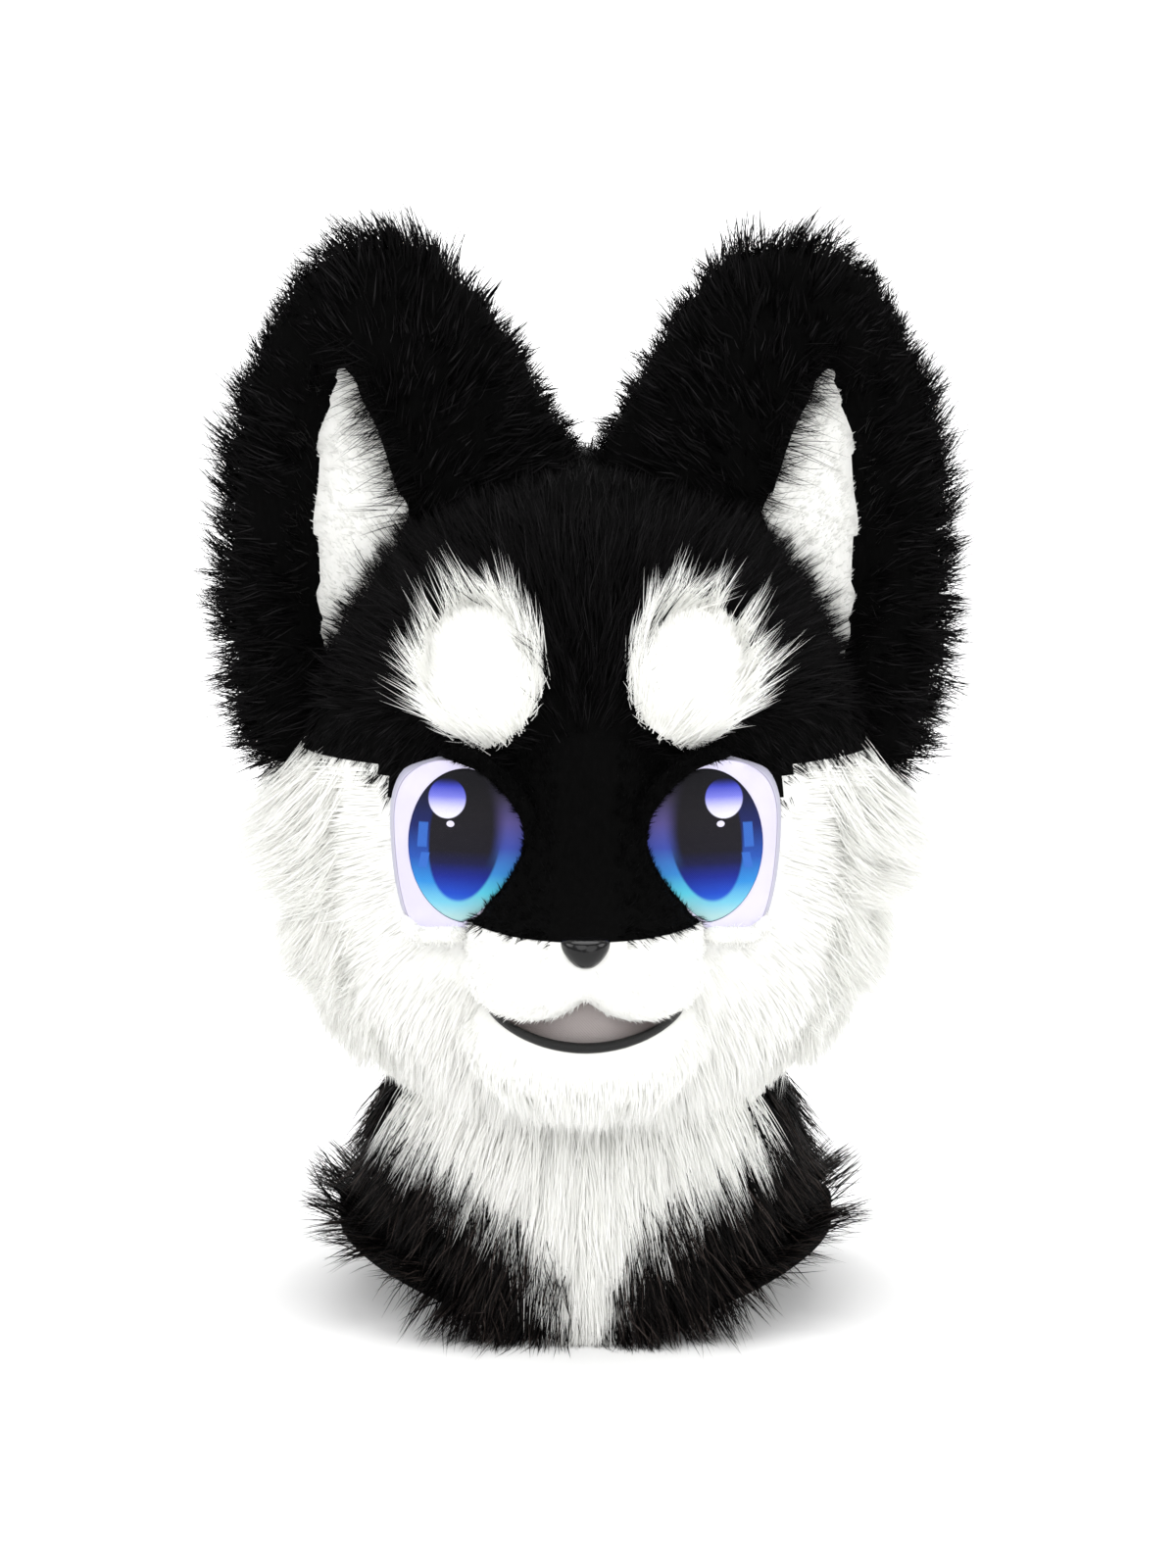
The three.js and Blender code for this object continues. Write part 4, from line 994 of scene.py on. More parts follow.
def rolled(name, path, thickness, shares):
    """A round roll along a path, its thickness shared out point by point."""
    curve = bpy.data.curves.new(name, "CURVE")
    curve.dimensions = "3D"
    curve.bevel_depth = thickness
    curve.bevel_resolution = 5
    curve.use_fill_caps = True
    spline = curve.splines.new("POLY")
    spline.points.add(len(path) - 1)
    for point, place, share in zip(spline.points, path, shares):
        point.co = (*place, 1)
        point.radius = share
    ob = bpy.data.objects.new(name, curve)
    bpy.context.collection.objects.link(ob)
    only(ob)
    bpy.ops.object.convert(target="MESH")
    return bpy.context.object


def edge_span(ends):
    outline = closed_outline(EYE_OUTLINE, EYE_POINTS)
    return tuple(int(np.argmin(np.linalg.norm(outline - end, axis=1))) for end in ends)


def under_mask():
    """How far each point of the eye's outline lies under the edge of the mask, 0 to 1."""
    first, last = edge_span(MASK_EDGE)
    i = np.arange(EYE_POINTS)
    return fade(first - 1, first + 6, i) * (1 - fade(last - 6, last + 1, i))


def padded_edge(side, ends):
    """A padded roll along a part of the eye's outline, which covers the rim of the bowl."""
    first, last = edge_span(ends)
    flat = eye_outline(side)
    path = (flat + outward_of(flat) * EDGE_OFF)[first:last + 1]
    share = np.linspace(0, 1, len(path))
    shares = np.sqrt(np.clip(np.minimum(share, 1 - share) / 0.12, 0.02, 1))
    depth = EDGE_DEPTH + EDGE_RADIUS * (1 - shares)
    roll = rolled("edge", np.insert(path, 1, depth, axis=1), EDGE_RADIUS, shares)
    return placed(roll, eye_matrix(side))


def socket_cut(pad, side):
    """Cuts the outline of the eye through a pad, towards the front."""
    flat = eye_outline(side)
    flat = flat + outward_of(flat) * SOCKET_GAP
    back = np.array([eye_matrix(side) @ Vector((x, SOCKET_DEPTH, z)) for x, z in flat])
    front = back + np.array((-side * SOCKET_FLARE, -1, 0)) * SOCKET_REACH
    count = len(flat)
    faces = [(i, (i + 1) % count, (i + 1) % count + count, i + count) for i in range(count)]
    faces += [tuple(range(count)), tuple(range(count, 2 * count))]
    me = bpy.data.meshes.new("socket")
    me.from_pydata(np.concatenate([back, front]).tolist(), [], faces)
    tool = bpy.data.objects.new("socket", me)
    bpy.context.collection.objects.link(tool)
    facing_out(tool)
    modified(pad, "BOOLEAN", object=tool, operation="DIFFERENCE", solver="EXACT")
    bpy.data.objects.remove(tool)
    return pad


def nose_button():
    """A rounded triangle, wide and flattened at the top."""
    ob = ball(48, 32)
    p = places(ob)
    up = p[:, 2]
    p[:, 0] *= (1 - 0.5 * (1 - up) / 2) * np.sqrt(np.maximum(1 - up**2, 1e-6)) ** -0.25
    p[:, 2] = np.where(up > 0.45, 0.45 + (up - 0.45) / 2, up)
    move(ob, p * NOSE_HALF + (0, MIDDLE_Y - NOSE_FRONT, NOSE_HEIGHT))
    return ob


def spot_matrix(side):
    side_at, front_at, _ = head_sizes(SPOT_HEIGHT)
    above = head_sizes(SPOT_HEIGHT + SPOT_HALF[2])[1]
    lean = math.atan2(front_at - above, SPOT_HALF[2])
    depth = front_at * (1 - (SPOT_OUT / side_at) ** ROUNDNESS) ** (1 / ROUNDNESS)
    turn = Matrix.Rotation(side * EYE_YAW, 4, "Z") @ Matrix.Rotation(-lean, 4, "X")
    tilt = Matrix.Rotation(side * SPOT_TILT, 4, "Y")
    return Matrix.Translation((side * SPOT_OUT, MIDDLE_Y - depth, SPOT_HEIGHT)) @ turn @ tilt


def in_spot(p):
    """Which points lie under either brow spot."""
    inside = np.zeros(len(p), bool)
    for side in (-1, 1):
        local = seen_from(spot_matrix(side), p)
        inside |= (local[:, 0] / SPOT_HALF[0]) ** 2 + (local[:, 2] / SPOT_HALF[2]) ** 2 < 0.9
    return inside & (p[:, 1] < MIDDLE_Y)


def spot_pad(side):
    """One white brow spot."""
    ob = ball(48, 28)
    move(ob, places(ob) * SPOT_HALF)
    return placed(ob, spot_matrix(side))


def bowl(side):
    """The eye bowl round its mesh opening."""
    flat = eye_outline(side)
    outward = outward_of(flat)
    opening = iris_edge(side)
    layers = [
        (EYE_RISE + EYE_FOOT, EYE_FLARE),
        (EYE_RISE, EYE_FLARE),
        (EYE_RISE * 0.78, EYE_FLARE * 0.93),
        (EYE_RISE * 0.45, EYE_FLARE * 0.66),
        (EYE_RISE * 0.16, EYE_FLARE * 0.3),
        (0.0004, 0.0006),
        (-0.0002, -0.0003),
        (0.0, -0.0012),
    ]
    tuck = (1 - 0.8 * under_mask()) * (1 - 0.8 * fade(0.72, 0.98, flat[:, 1] * 2 / EYE_TALL))
    rings = []
    for depth, grow in layers:
        rings.append(np.insert(flat + outward * (grow * tuck)[:, None], 1, depth, axis=1))
    rings.append(np.insert(opening * 0.5 + (flat - outward * 0.0012) * 0.5, 1, 0.0001, axis=1))
    rings.append(np.insert(opening, 1, 0.0004, axis=1))
    rings.append(np.insert(opening, 1, EYE_RISE + EYE_FOOT, axis=1))
    return placed(ring_body("bowl", rings), eye_matrix(side))


def iris_edge(side):
    """The edge of the mesh opening: an ellipse kept inside the bowl's rim."""
    flat = eye_outline(side)
    inner = flat - outward_of(flat) * (IRIS_GAP * (1 - 0.85 * under_mask()))[:, None]
    middle = np.array((-side * IRIS_SHIFT, 0.0))
    way = inner - middle
    angle = np.arctan2(way[:, 1] / IRIS_HALF[1], way[:, 0] / IRIS_HALF[0])
    ellipse = np.stack([np.cos(angle), np.sin(angle)], axis=1) * IRIS_HALF
    near = np.minimum(1, np.linalg.norm(way, axis=1) / np.linalg.norm(ellipse, axis=1))
    return middle + ellipse * near[:, None]


def ring_body(name, rings):
    """A closed band: each ring is joined to the next, and the last to the first."""
    count = len(rings[0])
    points = np.concatenate(rings)
    faces = []
    for i in range(len(rings)):
        low, high = i * count, (i + 1) % len(rings) * count
        for j in range(count):
            after = (j + 1) % count
            faces.append((low + j, low + after, high + after, high + j))
    me = bpy.data.meshes.new(name)
    me.from_pydata(points.tolist(), [], faces)
    ob = bpy.data.objects.new(name, me)
    bpy.context.collection.objects.link(ob)
    return facing_out(ob)


def facing_out(ob):
    only(ob)
    bpy.ops.object.mode_set(mode="EDIT")
    bpy.ops.mesh.select_all(action="SELECT")
    bpy.ops.mesh.normals_make_consistent(inside=False)
    bpy.ops.object.mode_set(mode="OBJECT")
    return ob


def soft_piece(ob):
    """A closed piece with its faces turned out and its shading smooth."""
    return smoothed(facing_out(ob))


def mesh_dome(side):
    """The printed eye mesh, a thin dome in the opening of the bowl."""
    edge = iris_edge(side)
    middle = np.array((-side * IRIS_SHIFT, 0.0))
    columns, rows = len(edge), 28

    def place_at(share, angle):
        column = column_at(angle, columns)
        front = share > 0.5
        reach = np.sin(share * math.pi)
        p = middle + (edge[column] - middle) * (reach * 0.997)[:, None]
        bulge = 1 - (p[:, 0] / EYE_WIDTH) ** 2 - (p[:, 1] / EYE_TALL) ** 2
        y = IRIS_SWELL * (1 - np.sqrt(np.maximum(bulge, 0))) - IRIS_DOME / 2
        y = y + np.where(front, 0, 0.0012)
        return np.stack([p[:, 0], y, p[:, 1]], axis=1)

    return placed(shaped_ball(columns, rows, place_at), eye_matrix(side))


def neck_skin():
    """The neck down to its hem, open at both ends."""
    rows = 30

    def place_at(share, angle):
        t = between_poles(share, rows)
        z = (WAIST_HEIGHT - 0.0003) * (1 - t)
        x, y = plan_point(*neck_sizes(z), angle)
        p = np.stack([x, y + MIDDLE_Y, z], axis=1)
        p[:, 2] = np.maximum(z, hem_height(p))
        p[share < 0.5 / rows] = (0, 0, 1)
        p[share > 1 - 0.5 / rows] = (0, 0, -1)
        return p

    ob = shaped_ball(112, rows, place_at)
    return cut_away(ob, lambda p: np.abs(p[:, 2]) > 0.5, "verts")


# The pieces in place

def build_head():
    """The black hood and the white face as two padded shells, cut from one skin."""
    skin = facing_out(head_skin())
    cut_away(skin, lambda p: in_eye(p, 0.002) | (in_face(p) & in_snout(p, -0.004)))
    face = split_off(skin, in_face)
    skins = {"hood": Skin(skin), "face": Skin(face)}
    for ob, name, slot, finish in (
        (skin, "hood_backing", "black_fur", BLACK_BACKING),
        (face, "face_backing", "white_fur", WHITE_BACKING),
    ):
        smoothed(walled(ob, HEAD_WALL))
        node = "hood" if name == "hood_backing" else "face_fur"
        finished(ob, name, finish, replaces=[node])
    return skins


def build_neck():
    skin = facing_out(neck_skin())
    bib = split_off(skin, in_bib)
    skins = {"neck": Skin(skin), "bib": Skin(bib)}
    smoothed(on_floor(walled(skin, NECK_WALL)))
    finished(skin, "neck_backing", BLACK_BACKING, replaces=["neck_fur"])
    smoothed(on_floor(walled(bib, NECK_WALL)))
    finished(bib, "bib_backing", WHITE_BACKING, replaces=["bib"])
    return skins


def build_snout():
    bridge = facing_out(bridge_pad())
    only(bridge)
    bpy.ops.object.shade_smooth_by_angle(angle=math.radians(50))
    muzzle = soft_piece(muzzle_pad())
    jaw = soft_piece(jaw_pad())
    skins = {"bridge": Skin(bridge), "muzzle": Skin(muzzle), "jaw": Skin(jaw)}
    finished(bridge, "bridge_backing", BLACK_BACKING, replaces=["nose_bridge"])
    finished(muzzle, "muzzle_backing", WHITE_BACKING, replaces=["muzzle"])
    finished(jaw, "jaw_backing", WHITE_BACKING)
    finished(soft_piece(mouth_pad()), "mouth_cloth", mouth_finish(),
             replaces=["mouth_lining"])
    finished(soft_piece(lip_roll()), "lip_roll", lip_finish(), replaces=["lip"])
    finished(soft_piece(nose_button()), "nose_button", nose_finish(),
             replaces=["nose"])
    return skins


def build_eye(side, name):
    white = smoothed(bowl(side))
    only(white)
    bpy.ops.object.shade_smooth_by_angle(angle=math.radians(40))
    finished(white, f"eye_bowl_{name}", bowl_finish(side), replaces=[f"eye_white_{name}"])
    dome = soft_piece(mesh_dome(side))
    finished(dome, f"eye_mesh_{name}", eye_print(side), replaces=[f"iris_{name}"])
    mask = soft_piece(padded_edge(side, MASK_EDGE))
    lid = soft_piece(padded_edge(side, LID_EDGE))
    skins = {"mask": Skin(mask), "lid": Skin(lid)}
    finished(mask, f"mask_edge_{name}", BLACK_BACKING)
    finished(lid, f"lid_edge_{name}", WHITE_BACKING)
    return skins


def build_ear(side, name):
    ear = soft_piece(ear_skin(side))
    pressed_in(ear, side)
    lining = soft_piece(lining_pad(side))
    skins = {"ear": Skin(ear), "lining": Skin(lining)}
    finished(ear, f"ear_backing_{name}", BLACK_BACKING, replaces=[f"ear_{name}"])
    finished(lining, f"lining_backing_{name}", WHITE_BACKING,
             replaces=[f"ear_lining_{name}"])
    return skins


def build_spot(side, name):
    pad = soft_piece(spot_pad(side))
    skin = Skin(pad)
    finished(pad, f"spot_backing_{name}", WHITE_BACKING, replaces=[f"brow_spot_{name}"])
    return skin


# Finishes of the small pieces

def mouth_finish():
    made = Finish("mouth_knit", roughness=0.9, sheen_weight=0.3, specular_level=0.2)
    x, _, z = made.parts(made.object_place())
    # Painted highlight down the middle of the cloth, fading to painted shade towards its sides.
    middle = 1 - abs(x * 1000).fade(4.0, 34.0)
    colour = made.mix(middle, linear(92, 82, 80), linear(158, 150, 149))
    knit = ((x * 5200).sine() * (z * 5200).sine()) * 0.5 + made.noise(300) * 0.5
    return made.paint(base_color=colour, normal=made.bump(knit, 0.0004, 0.4))


def lip_finish():
    made = Finish("lip_leatherette", base_color=(*linear(10, 10, 10), 1), specular_level=0.3)
    grain = made.add("ShaderNodeTexVoronoi", {"feature": "DISTANCE_TO_EDGE"},
                     {"Vector": made.object_place(), "Scale": 1400})
    height = Value(made, grain.outputs[0]).fade(0.0, 0.12)
    return made.paint(roughness=0.34 + made.noise(250) * 0.14, normal=made.bump(height, 0.0002, 0.35))


def nose_finish():
    made = Finish("nose_plastic", base_color=(*linear(9, 9, 10), 1), specular_level=0.35)
    return made.paint(roughness=0.10 + made.noise(180, 3) * 0.06,
                      normal=made.bump(made.noise(900), 0.00004))


def eye_place(made, side):
    """The place in the eye's own frame."""
    return made.add("ShaderNodeMapping", {"vector_type": "TEXTURE"}, {
        "Vector": made.object_place(),
        "Location": tuple(eye_matrix(side).translation),
        "Rotation": (0, 0, side * EYE_YAW),
    }).outputs[0]


def bowl_finish(side):
    """Pale plastic: a bright front, a flared rim painted greyer as painted shade, and the fine seam between
    them.
    """
    made = Finish("eye_plastic", specular_level=0.35)
    _, depth, _ = made.parts(eye_place(made, side))
    tint = made.mix(made.noise(45, 3).fade(0.3, 0.7), linear(204, 199, 224), linear(212, 208, 232))
    # Painted shade: the flared rim, turned back from the light, is painted greyer than the front.
    tint = made.mix(depth.fade(0.0009, 0.0022), tint, linear(176, 175, 192))
    seam = depth.fade(0.0003, 0.0007) * (1 - depth.fade(0.0010, 0.0015))
    tint = made.mix(seam * 0.75, tint, linear(128, 124, 140))
    layers = made.noise(1, 1, stretch=(40, 40, 5200))
    return made.paint(base_color=tint, roughness=0.4 + made.noise(120) * 0.1,
                      normal=made.bump(layers, 0.00005, 0.4))


def eye_print(side):
    """The printed iris on fine woven mesh."""
    name = "left" if side < 0 else "right"
    made = Finish(f"eye_print_{name}", specular_level=0.12)
    x, _, z = made.parts(eye_place(made, side))
    u = (x * -side - IRIS_SHIFT) / IRIS_HALF[0]
    w = z / IRIS_HALF[1]
    navy, royal, sky = linear(26, 36, 96), linear(40, 82, 172), linear(52, 140, 214)
    outer = made.ramp(w * 0.5 + 0.5, [
        (0.04, linear(176, 216, 218)), (0.13, linear(120, 200, 226)), (0.26, sky), (0.42, royal),
        (0.62, navy), (0.82, linear(20, 22, 44)), (0.93, linear(10, 10, 15)),
    ])
    inner = made.ramp(w * 0.5 + 0.5, [
        (0.06, linear(178, 224, 222)), (0.20, linear(96, 212, 234)), (0.33, linear(60, 140, 214)),
        (0.5, linear(62, 78, 168)), (0.66, linear(84, 76, 136)), (0.80, linear(66, 60, 88)),
        (0.94, linear(26, 24, 32)),
    ])
    ring = made.mix(u.fade(-0.2, 0.35), outer, inner)
    disc = made.ramp(w * 0.5 + 0.5, [
        (0.03, linear(84, 180, 226)), (0.11, linear(48, 120, 218)), (0.19, linear(32, 76, 196)),
        (0.30, linear(24, 40, 140)), (0.39, linear(22, 24, 66)), (0.47, linear(22, 20, 28)),
        (0.7, linear(23, 21, 24)), (0.93, linear(12, 11, 14)),
    ])
    # The pupil, tilted, with a longer half below than above, is crisp outside and blurred inside.
    tilted = w - (u + 0.02) * 0.3 - 0.1
    reach = (((u + 0.02) / 0.62) ** 2 + (tilted.least(0) / 0.8 + tilted.most(0) / 1.1) ** 2).root_of()
    crisp, soft = 1 - reach.fade(0.95, 1.03), 1 - reach.fade(0.70, 1.18)
    blur = u.fade(0.0, 0.4) * w.fade(-0.35, 0.1)
    colour = made.mix(crisp + (soft - crisp) * blur, ring, disc)
    # Two bars of light at the outer edge.
    across, up = (u + 0.75 - w * 0.10) / 0.085, (w - 0.13) / 0.165
    bar = (1 - abs(across).fade(0.85, 1.1)) * (1 - abs(up).fade(0.9, 1.05))
    across, up = (u + 0.66 - w * 0.3) / 0.075, (w + 0.2) / 0.10
    low = (1 - abs(across).fade(0.85, 1.1)) * (1 - abs(up).fade(0.9, 1.1))
    colour = made.mix(bar.most(low) * 0.8, colour, linear(58, 110, 200))
    # The printed shine above the pupil and the small dot beneath it.
    across, up = (u + 0.325) / 0.325, (w - 0.61) / 0.262
    far = (across ** 2 + up ** 2).root_of()
    shine = made.ramp(up * 0.5 + 0.5, [
        (0.0, linear(240, 238, 252)), (0.28, linear(210, 208, 242)), (0.55, linear(118, 122, 218)),
        (0.8, linear(62, 70, 186)), (1.0, linear(40, 44, 128)),
    ])
    colour = made.mix((1 - far.fade(0.94, 1.02)) * (1 - up.fade(0.5, 1.05)), colour, shine)
    dot = (((u + 0.26) / 0.066) ** 2 + ((w - 0.285) / 0.04) ** 2).root_of()
    colour = made.mix(1 - dot.fade(0.9, 1.1), colour, linear(224, 220, 244))
    threads = (x * 7400).sine() * (z * 7400).sine()
    colour = made.mix((threads * 0.5 + 0.5) * 0.22, colour, linear(14, 16, 34))
    return made.paint(base_color=colour, roughness=0.5 + threads * 0.1,
                      normal=made.bump(threads, 0.00012, 0.5))


# Fur

def fan(p, pole, weight=(0, 0, 0)):
    """Hair combed away from a place, with a steady pull added."""
    return unit(unit(p - np.array(pole)) + np.array(weight))


def comb_hood(skin, rng):
    brow = (0, MIDDLE_Y - 0.125, 0.250)

    def keep(p):
        return ~in_eye(p, 0.003) & ~in_snout(p, -0.002) & ~in_spot(p) & (p[:, 2] > 0.1)

    for name, behind, spacing, width in (
        ("hood_hair", False, 0.0037, 0.0006),
        ("nape_hair", True, 0.0058, 0.0013),
    ):
        roots, normals = skin.scatter(spacing, rng, lambda p: (
            keep(p) & ((p[:, 1] > MIDDLE_Y + 0.02) == behind)))
        back = fade(-0.02, 0.06, roots[:, 1] - MIDDLE_Y)
        edge = fade(0.08, 0.12, np.abs(roots[:, 0])) * fade(0.265, 0.235, roots[:, 2])
        lid = fade(0.030, 0.045, np.abs(roots[:, 0])) * fade(0.268, 0.258, roots[:, 2]) * (1 - back)
        fall = np.stack([0 * back, 0 * back, -1.2 * back - 0.9 * edge - 1.6 * lid], axis=1)
        flow = along_skin(fan(roots, brow) + fall, normals)
        crown = fade(0.320, 0.352, roots[:, 2])
        forehead = fade(0.25, 0.30, roots[:, 2]) * (1 - back) * (1 - crown)
        length = 0.012 + 0.010 * back + 0.012 * forehead * (1 - lid) - 0.0045 * lid
        comb(name, BLACK_HAIR, roots, normals, flow, length, rng, strands=7, steps=2,
             width=width, lift=0.26 + 0.05 * back - 0.16 * crown, droop=0.05, spread=0.0018, clump=0.4)


def comb_face(skins, rng):
    nose = (0, MIDDLE_Y - 0.15, 0.205)

    def keep(p):
        below = p[:, 2] < seam_height(p[:, 0]) - 0.005
        return ~in_eye(p, 0.004) & ~in_snout(p, 0.001) & (p[:, 2] > 0.114) & below

    roots, normals = skins["face"].scatter(0.0030, rng, keep)
    side = fade(0.045, 0.11, np.abs(roots[:, 0]))
    low = fade(0.17, 0.12, roots[:, 2])
    flow = along_skin(fan(roots, nose, (0, 0, -0.25)) + np.array((0, 0, -0.9)) * low[:, None], normals)
    length = 0.010 + 0.006 * side * (1 - low) + 0.010 * low * (1 - 0.8 * side)
    comb("face_hair", WHITE_HAIR, roots, normals, flow, length, rng, strands=6, steps=2,
         width=0.0009, lift=0.16 + 0.04 * side - 0.10 * side * low, droop=0.08, spread=0.0020, clump=0.2,
         curl=0.06, twist=0.15)
    roots, normals = skins["jaw"].scatter(0.0029, rng, lambda p: p[:, 2] < smile_height(p[:, 0]) - 0.006)
    flow = along_skin(fan(roots, nose, (0, 0, -0.5)), normals)
    length = 0.008 + 0.012 * fade(0.128, 0.112, roots[:, 2])
    comb("jaw_hair", WHITE_HAIR, roots, normals, flow, length, rng, strands=6, steps=2,
         width=0.0008, lift=0.15, droop=0.08, spread=0.0018, clump=0.2, curl=0.06, twist=0.15)


def comb_throat(skins, rng):
    """The long white fur under the face that falls over the neck, and the bib that goes on from it."""
    high = (0, MIDDLE_Y - 0.1, 0.27)
    roots, normals = skins["face"].scatter(0.0036, rng, lambda p: p[:, 2] < 0.126)
    flow = along_skin(fan(roots, high), normals)
    outer = fade(0.035, 0.075, np.abs(roots[:, 0]))
    length = 0.027 + 0.006 * fade(0.112, 0.098, roots[:, 2]) - 0.020 * outer
    lift = 0.28 - 0.20 * fade(0.055, 0.09, np.abs(roots[:, 0]))
    comb("throat_hair", WHITE_HAIR, roots, normals, flow, length, rng, strands=12,
         width=0.0007, lift=lift, droop=0.1, spread=0.0028, clump=0.45, curl=0.06, twist=0.2)
    roots, normals = skins["bib"].scatter(0.0034, rng, lambda p: p[:, 2] > 0.008)
    flow = along_skin(fan(roots, (0, MIDDLE_Y - 0.1, 0.22), (0, 0, -1.6)), normals)
    comb("bib_hair", WHITE_HAIR, roots, normals, flow, 0.026, rng,
         strands=13, width=0.0007, lift=0.30, droop=0.1, spread=0.0030, clump=0.45, curl=0.06, twist=0.2)


def comb_cheeks(skin, rng):
    """The fur that stands out from both cheeks in two soft points."""
    roots, normals = skin.scatter(0.0042, rng, lambda p: (
        (np.abs(p[:, 0]) > 0.8 * head_sizes(p[:, 2])[0]) & (p[:, 2] > 0.112)))
    line = np.array(CHEEK_LINE)
    x, y, z = roots.T
    tip_z = z - 0.012
    point = np.where(tip_z > 0.169, *CHEEK_TIPS)
    tip_z = tip_z + (point - tip_z) * 0.42 * fade(0.115, 0.135, tip_z) + rng.normal(0, 0.0035, len(z))
    outer = fade(0.80, 0.97, np.abs(x) / head_sizes(z)[0])
    reach = np.interp(tip_z, line[:, 0], line[:, 1]) * rng.uniform(0.95, 1.0, len(z))
    tip_x = np.abs(x) + np.maximum(reach - np.abs(x), 0.003) * (0.3 + 0.7 * outer)
    tip_y = y + 0.12 * (y - MIDDLE_Y) + rng.normal(0, 0.004, len(z))
    way = np.stack([tip_x * np.sign(x), tip_y, tip_z], axis=1) - roots
    length = np.linalg.norm(way, axis=1)
    comb("cheek_hair", WHITE_HAIR, roots, normals, unit(way), length / 1.2, rng, strands=10,
         width=0.0007, lift=0.0, droop=0.03, spread=0.0034, clump=0.25, curl=0.06, twist=0.3)


def comb_neck(skins, rng):
    def keep(tips):
        arch = hem_height(tips)
        low = np.where(arch > 0.004, arch + 0.001, -0.014)
        return (tips[:, 2] > low) & (np.abs(tips[:, 0]) < NECK_REACH)

    roots, normals = skins["neck"].scatter(0.0045, rng, lambda p: p[:, 2] > 0.004)
    flow = along_skin(fan(roots, (0, MIDDLE_Y, 0.17)), normals)
    low = 1 - roots[:, 2] / WAIST_HEIGHT
    comb("neck_hair", NECK_HAIR, roots, normals, flow, 0.026 + 0.004 * low, rng, keep=keep,
         strands=12, width=0.0008, lift=0.30 + 0.14 * low, droop=0.05, spread=0.0034, clump=0.42)


def comb_snout(skins, rng):
    nose = (0, MIDDLE_Y - SNOUT_REACH + 0.01, 0.178)
    roots, normals = skins["bridge"].scatter(0.0023, rng, lambda p: (
        ~in_eye(p, -0.001) & (p[:, 2] > 0.1823) & (p[:, 1] < MIDDLE_Y - 0.085) & clear_of_nose(p)))
    seam = fade(0.1875, 0.1835, roots[:, 2])
    flow = along_skin(fan(roots, nose, (0, 0, 0.3)) + np.array((0, 0, -2.5)) * seam[:, None], normals)
    comb("bridge_nap", BLACK_NAP, roots, normals, flow, 0.0036 + 0.0024 * seam, rng,
         strands=5, steps=2, width=0.0006, lift=0.45, droop=0, spread=0.0009, clump=0.3)
    roots, normals = skins["muzzle"].scatter(0.0026, rng, lambda p: (
        (p[:, 1] < MIDDLE_Y - 0.095) & (p[:, 2] < 0.1815) & clear_of_nose(p)))
    flow = along_skin(fan(roots, nose, (0, 0, -0.4)), normals)
    comb("muzzle_nap", WHITE_NAP, roots, normals, flow, 0.0040, rng, strands=5, steps=2,
         width=0.0007, lift=0.32, droop=0, spread=0.0010, clump=0.2, curl=0.10, twist=0.2)


def clear_of_nose(p):
    return (np.abs(p[:, 0]) > NOSE_HALF[0]) | (p[:, 2] < NOSE_HEIGHT - NOSE_HALF[2] - 0.001)


def comb_edges(skins, name, rng):
    """The short nap of the padded edges at the eye."""
    for part, slot, finish in (("mask", "black_pile", BLACK_NAP), ("lid", "white_fur", WHITE_NAP)):
        roots, normals = skins[part].scatter(0.0016, rng)
        flow = along_skin((0, 0, 1 if part == "mask" else -1), normals)
        comb(f"{part}_nap_{name}", finish, roots, normals, flow, 0.0032, rng, strands=4, steps=2,
             width=0.0005, lift=0.5, droop=0, spread=0.0008, clump=0.2, curl=0.2)


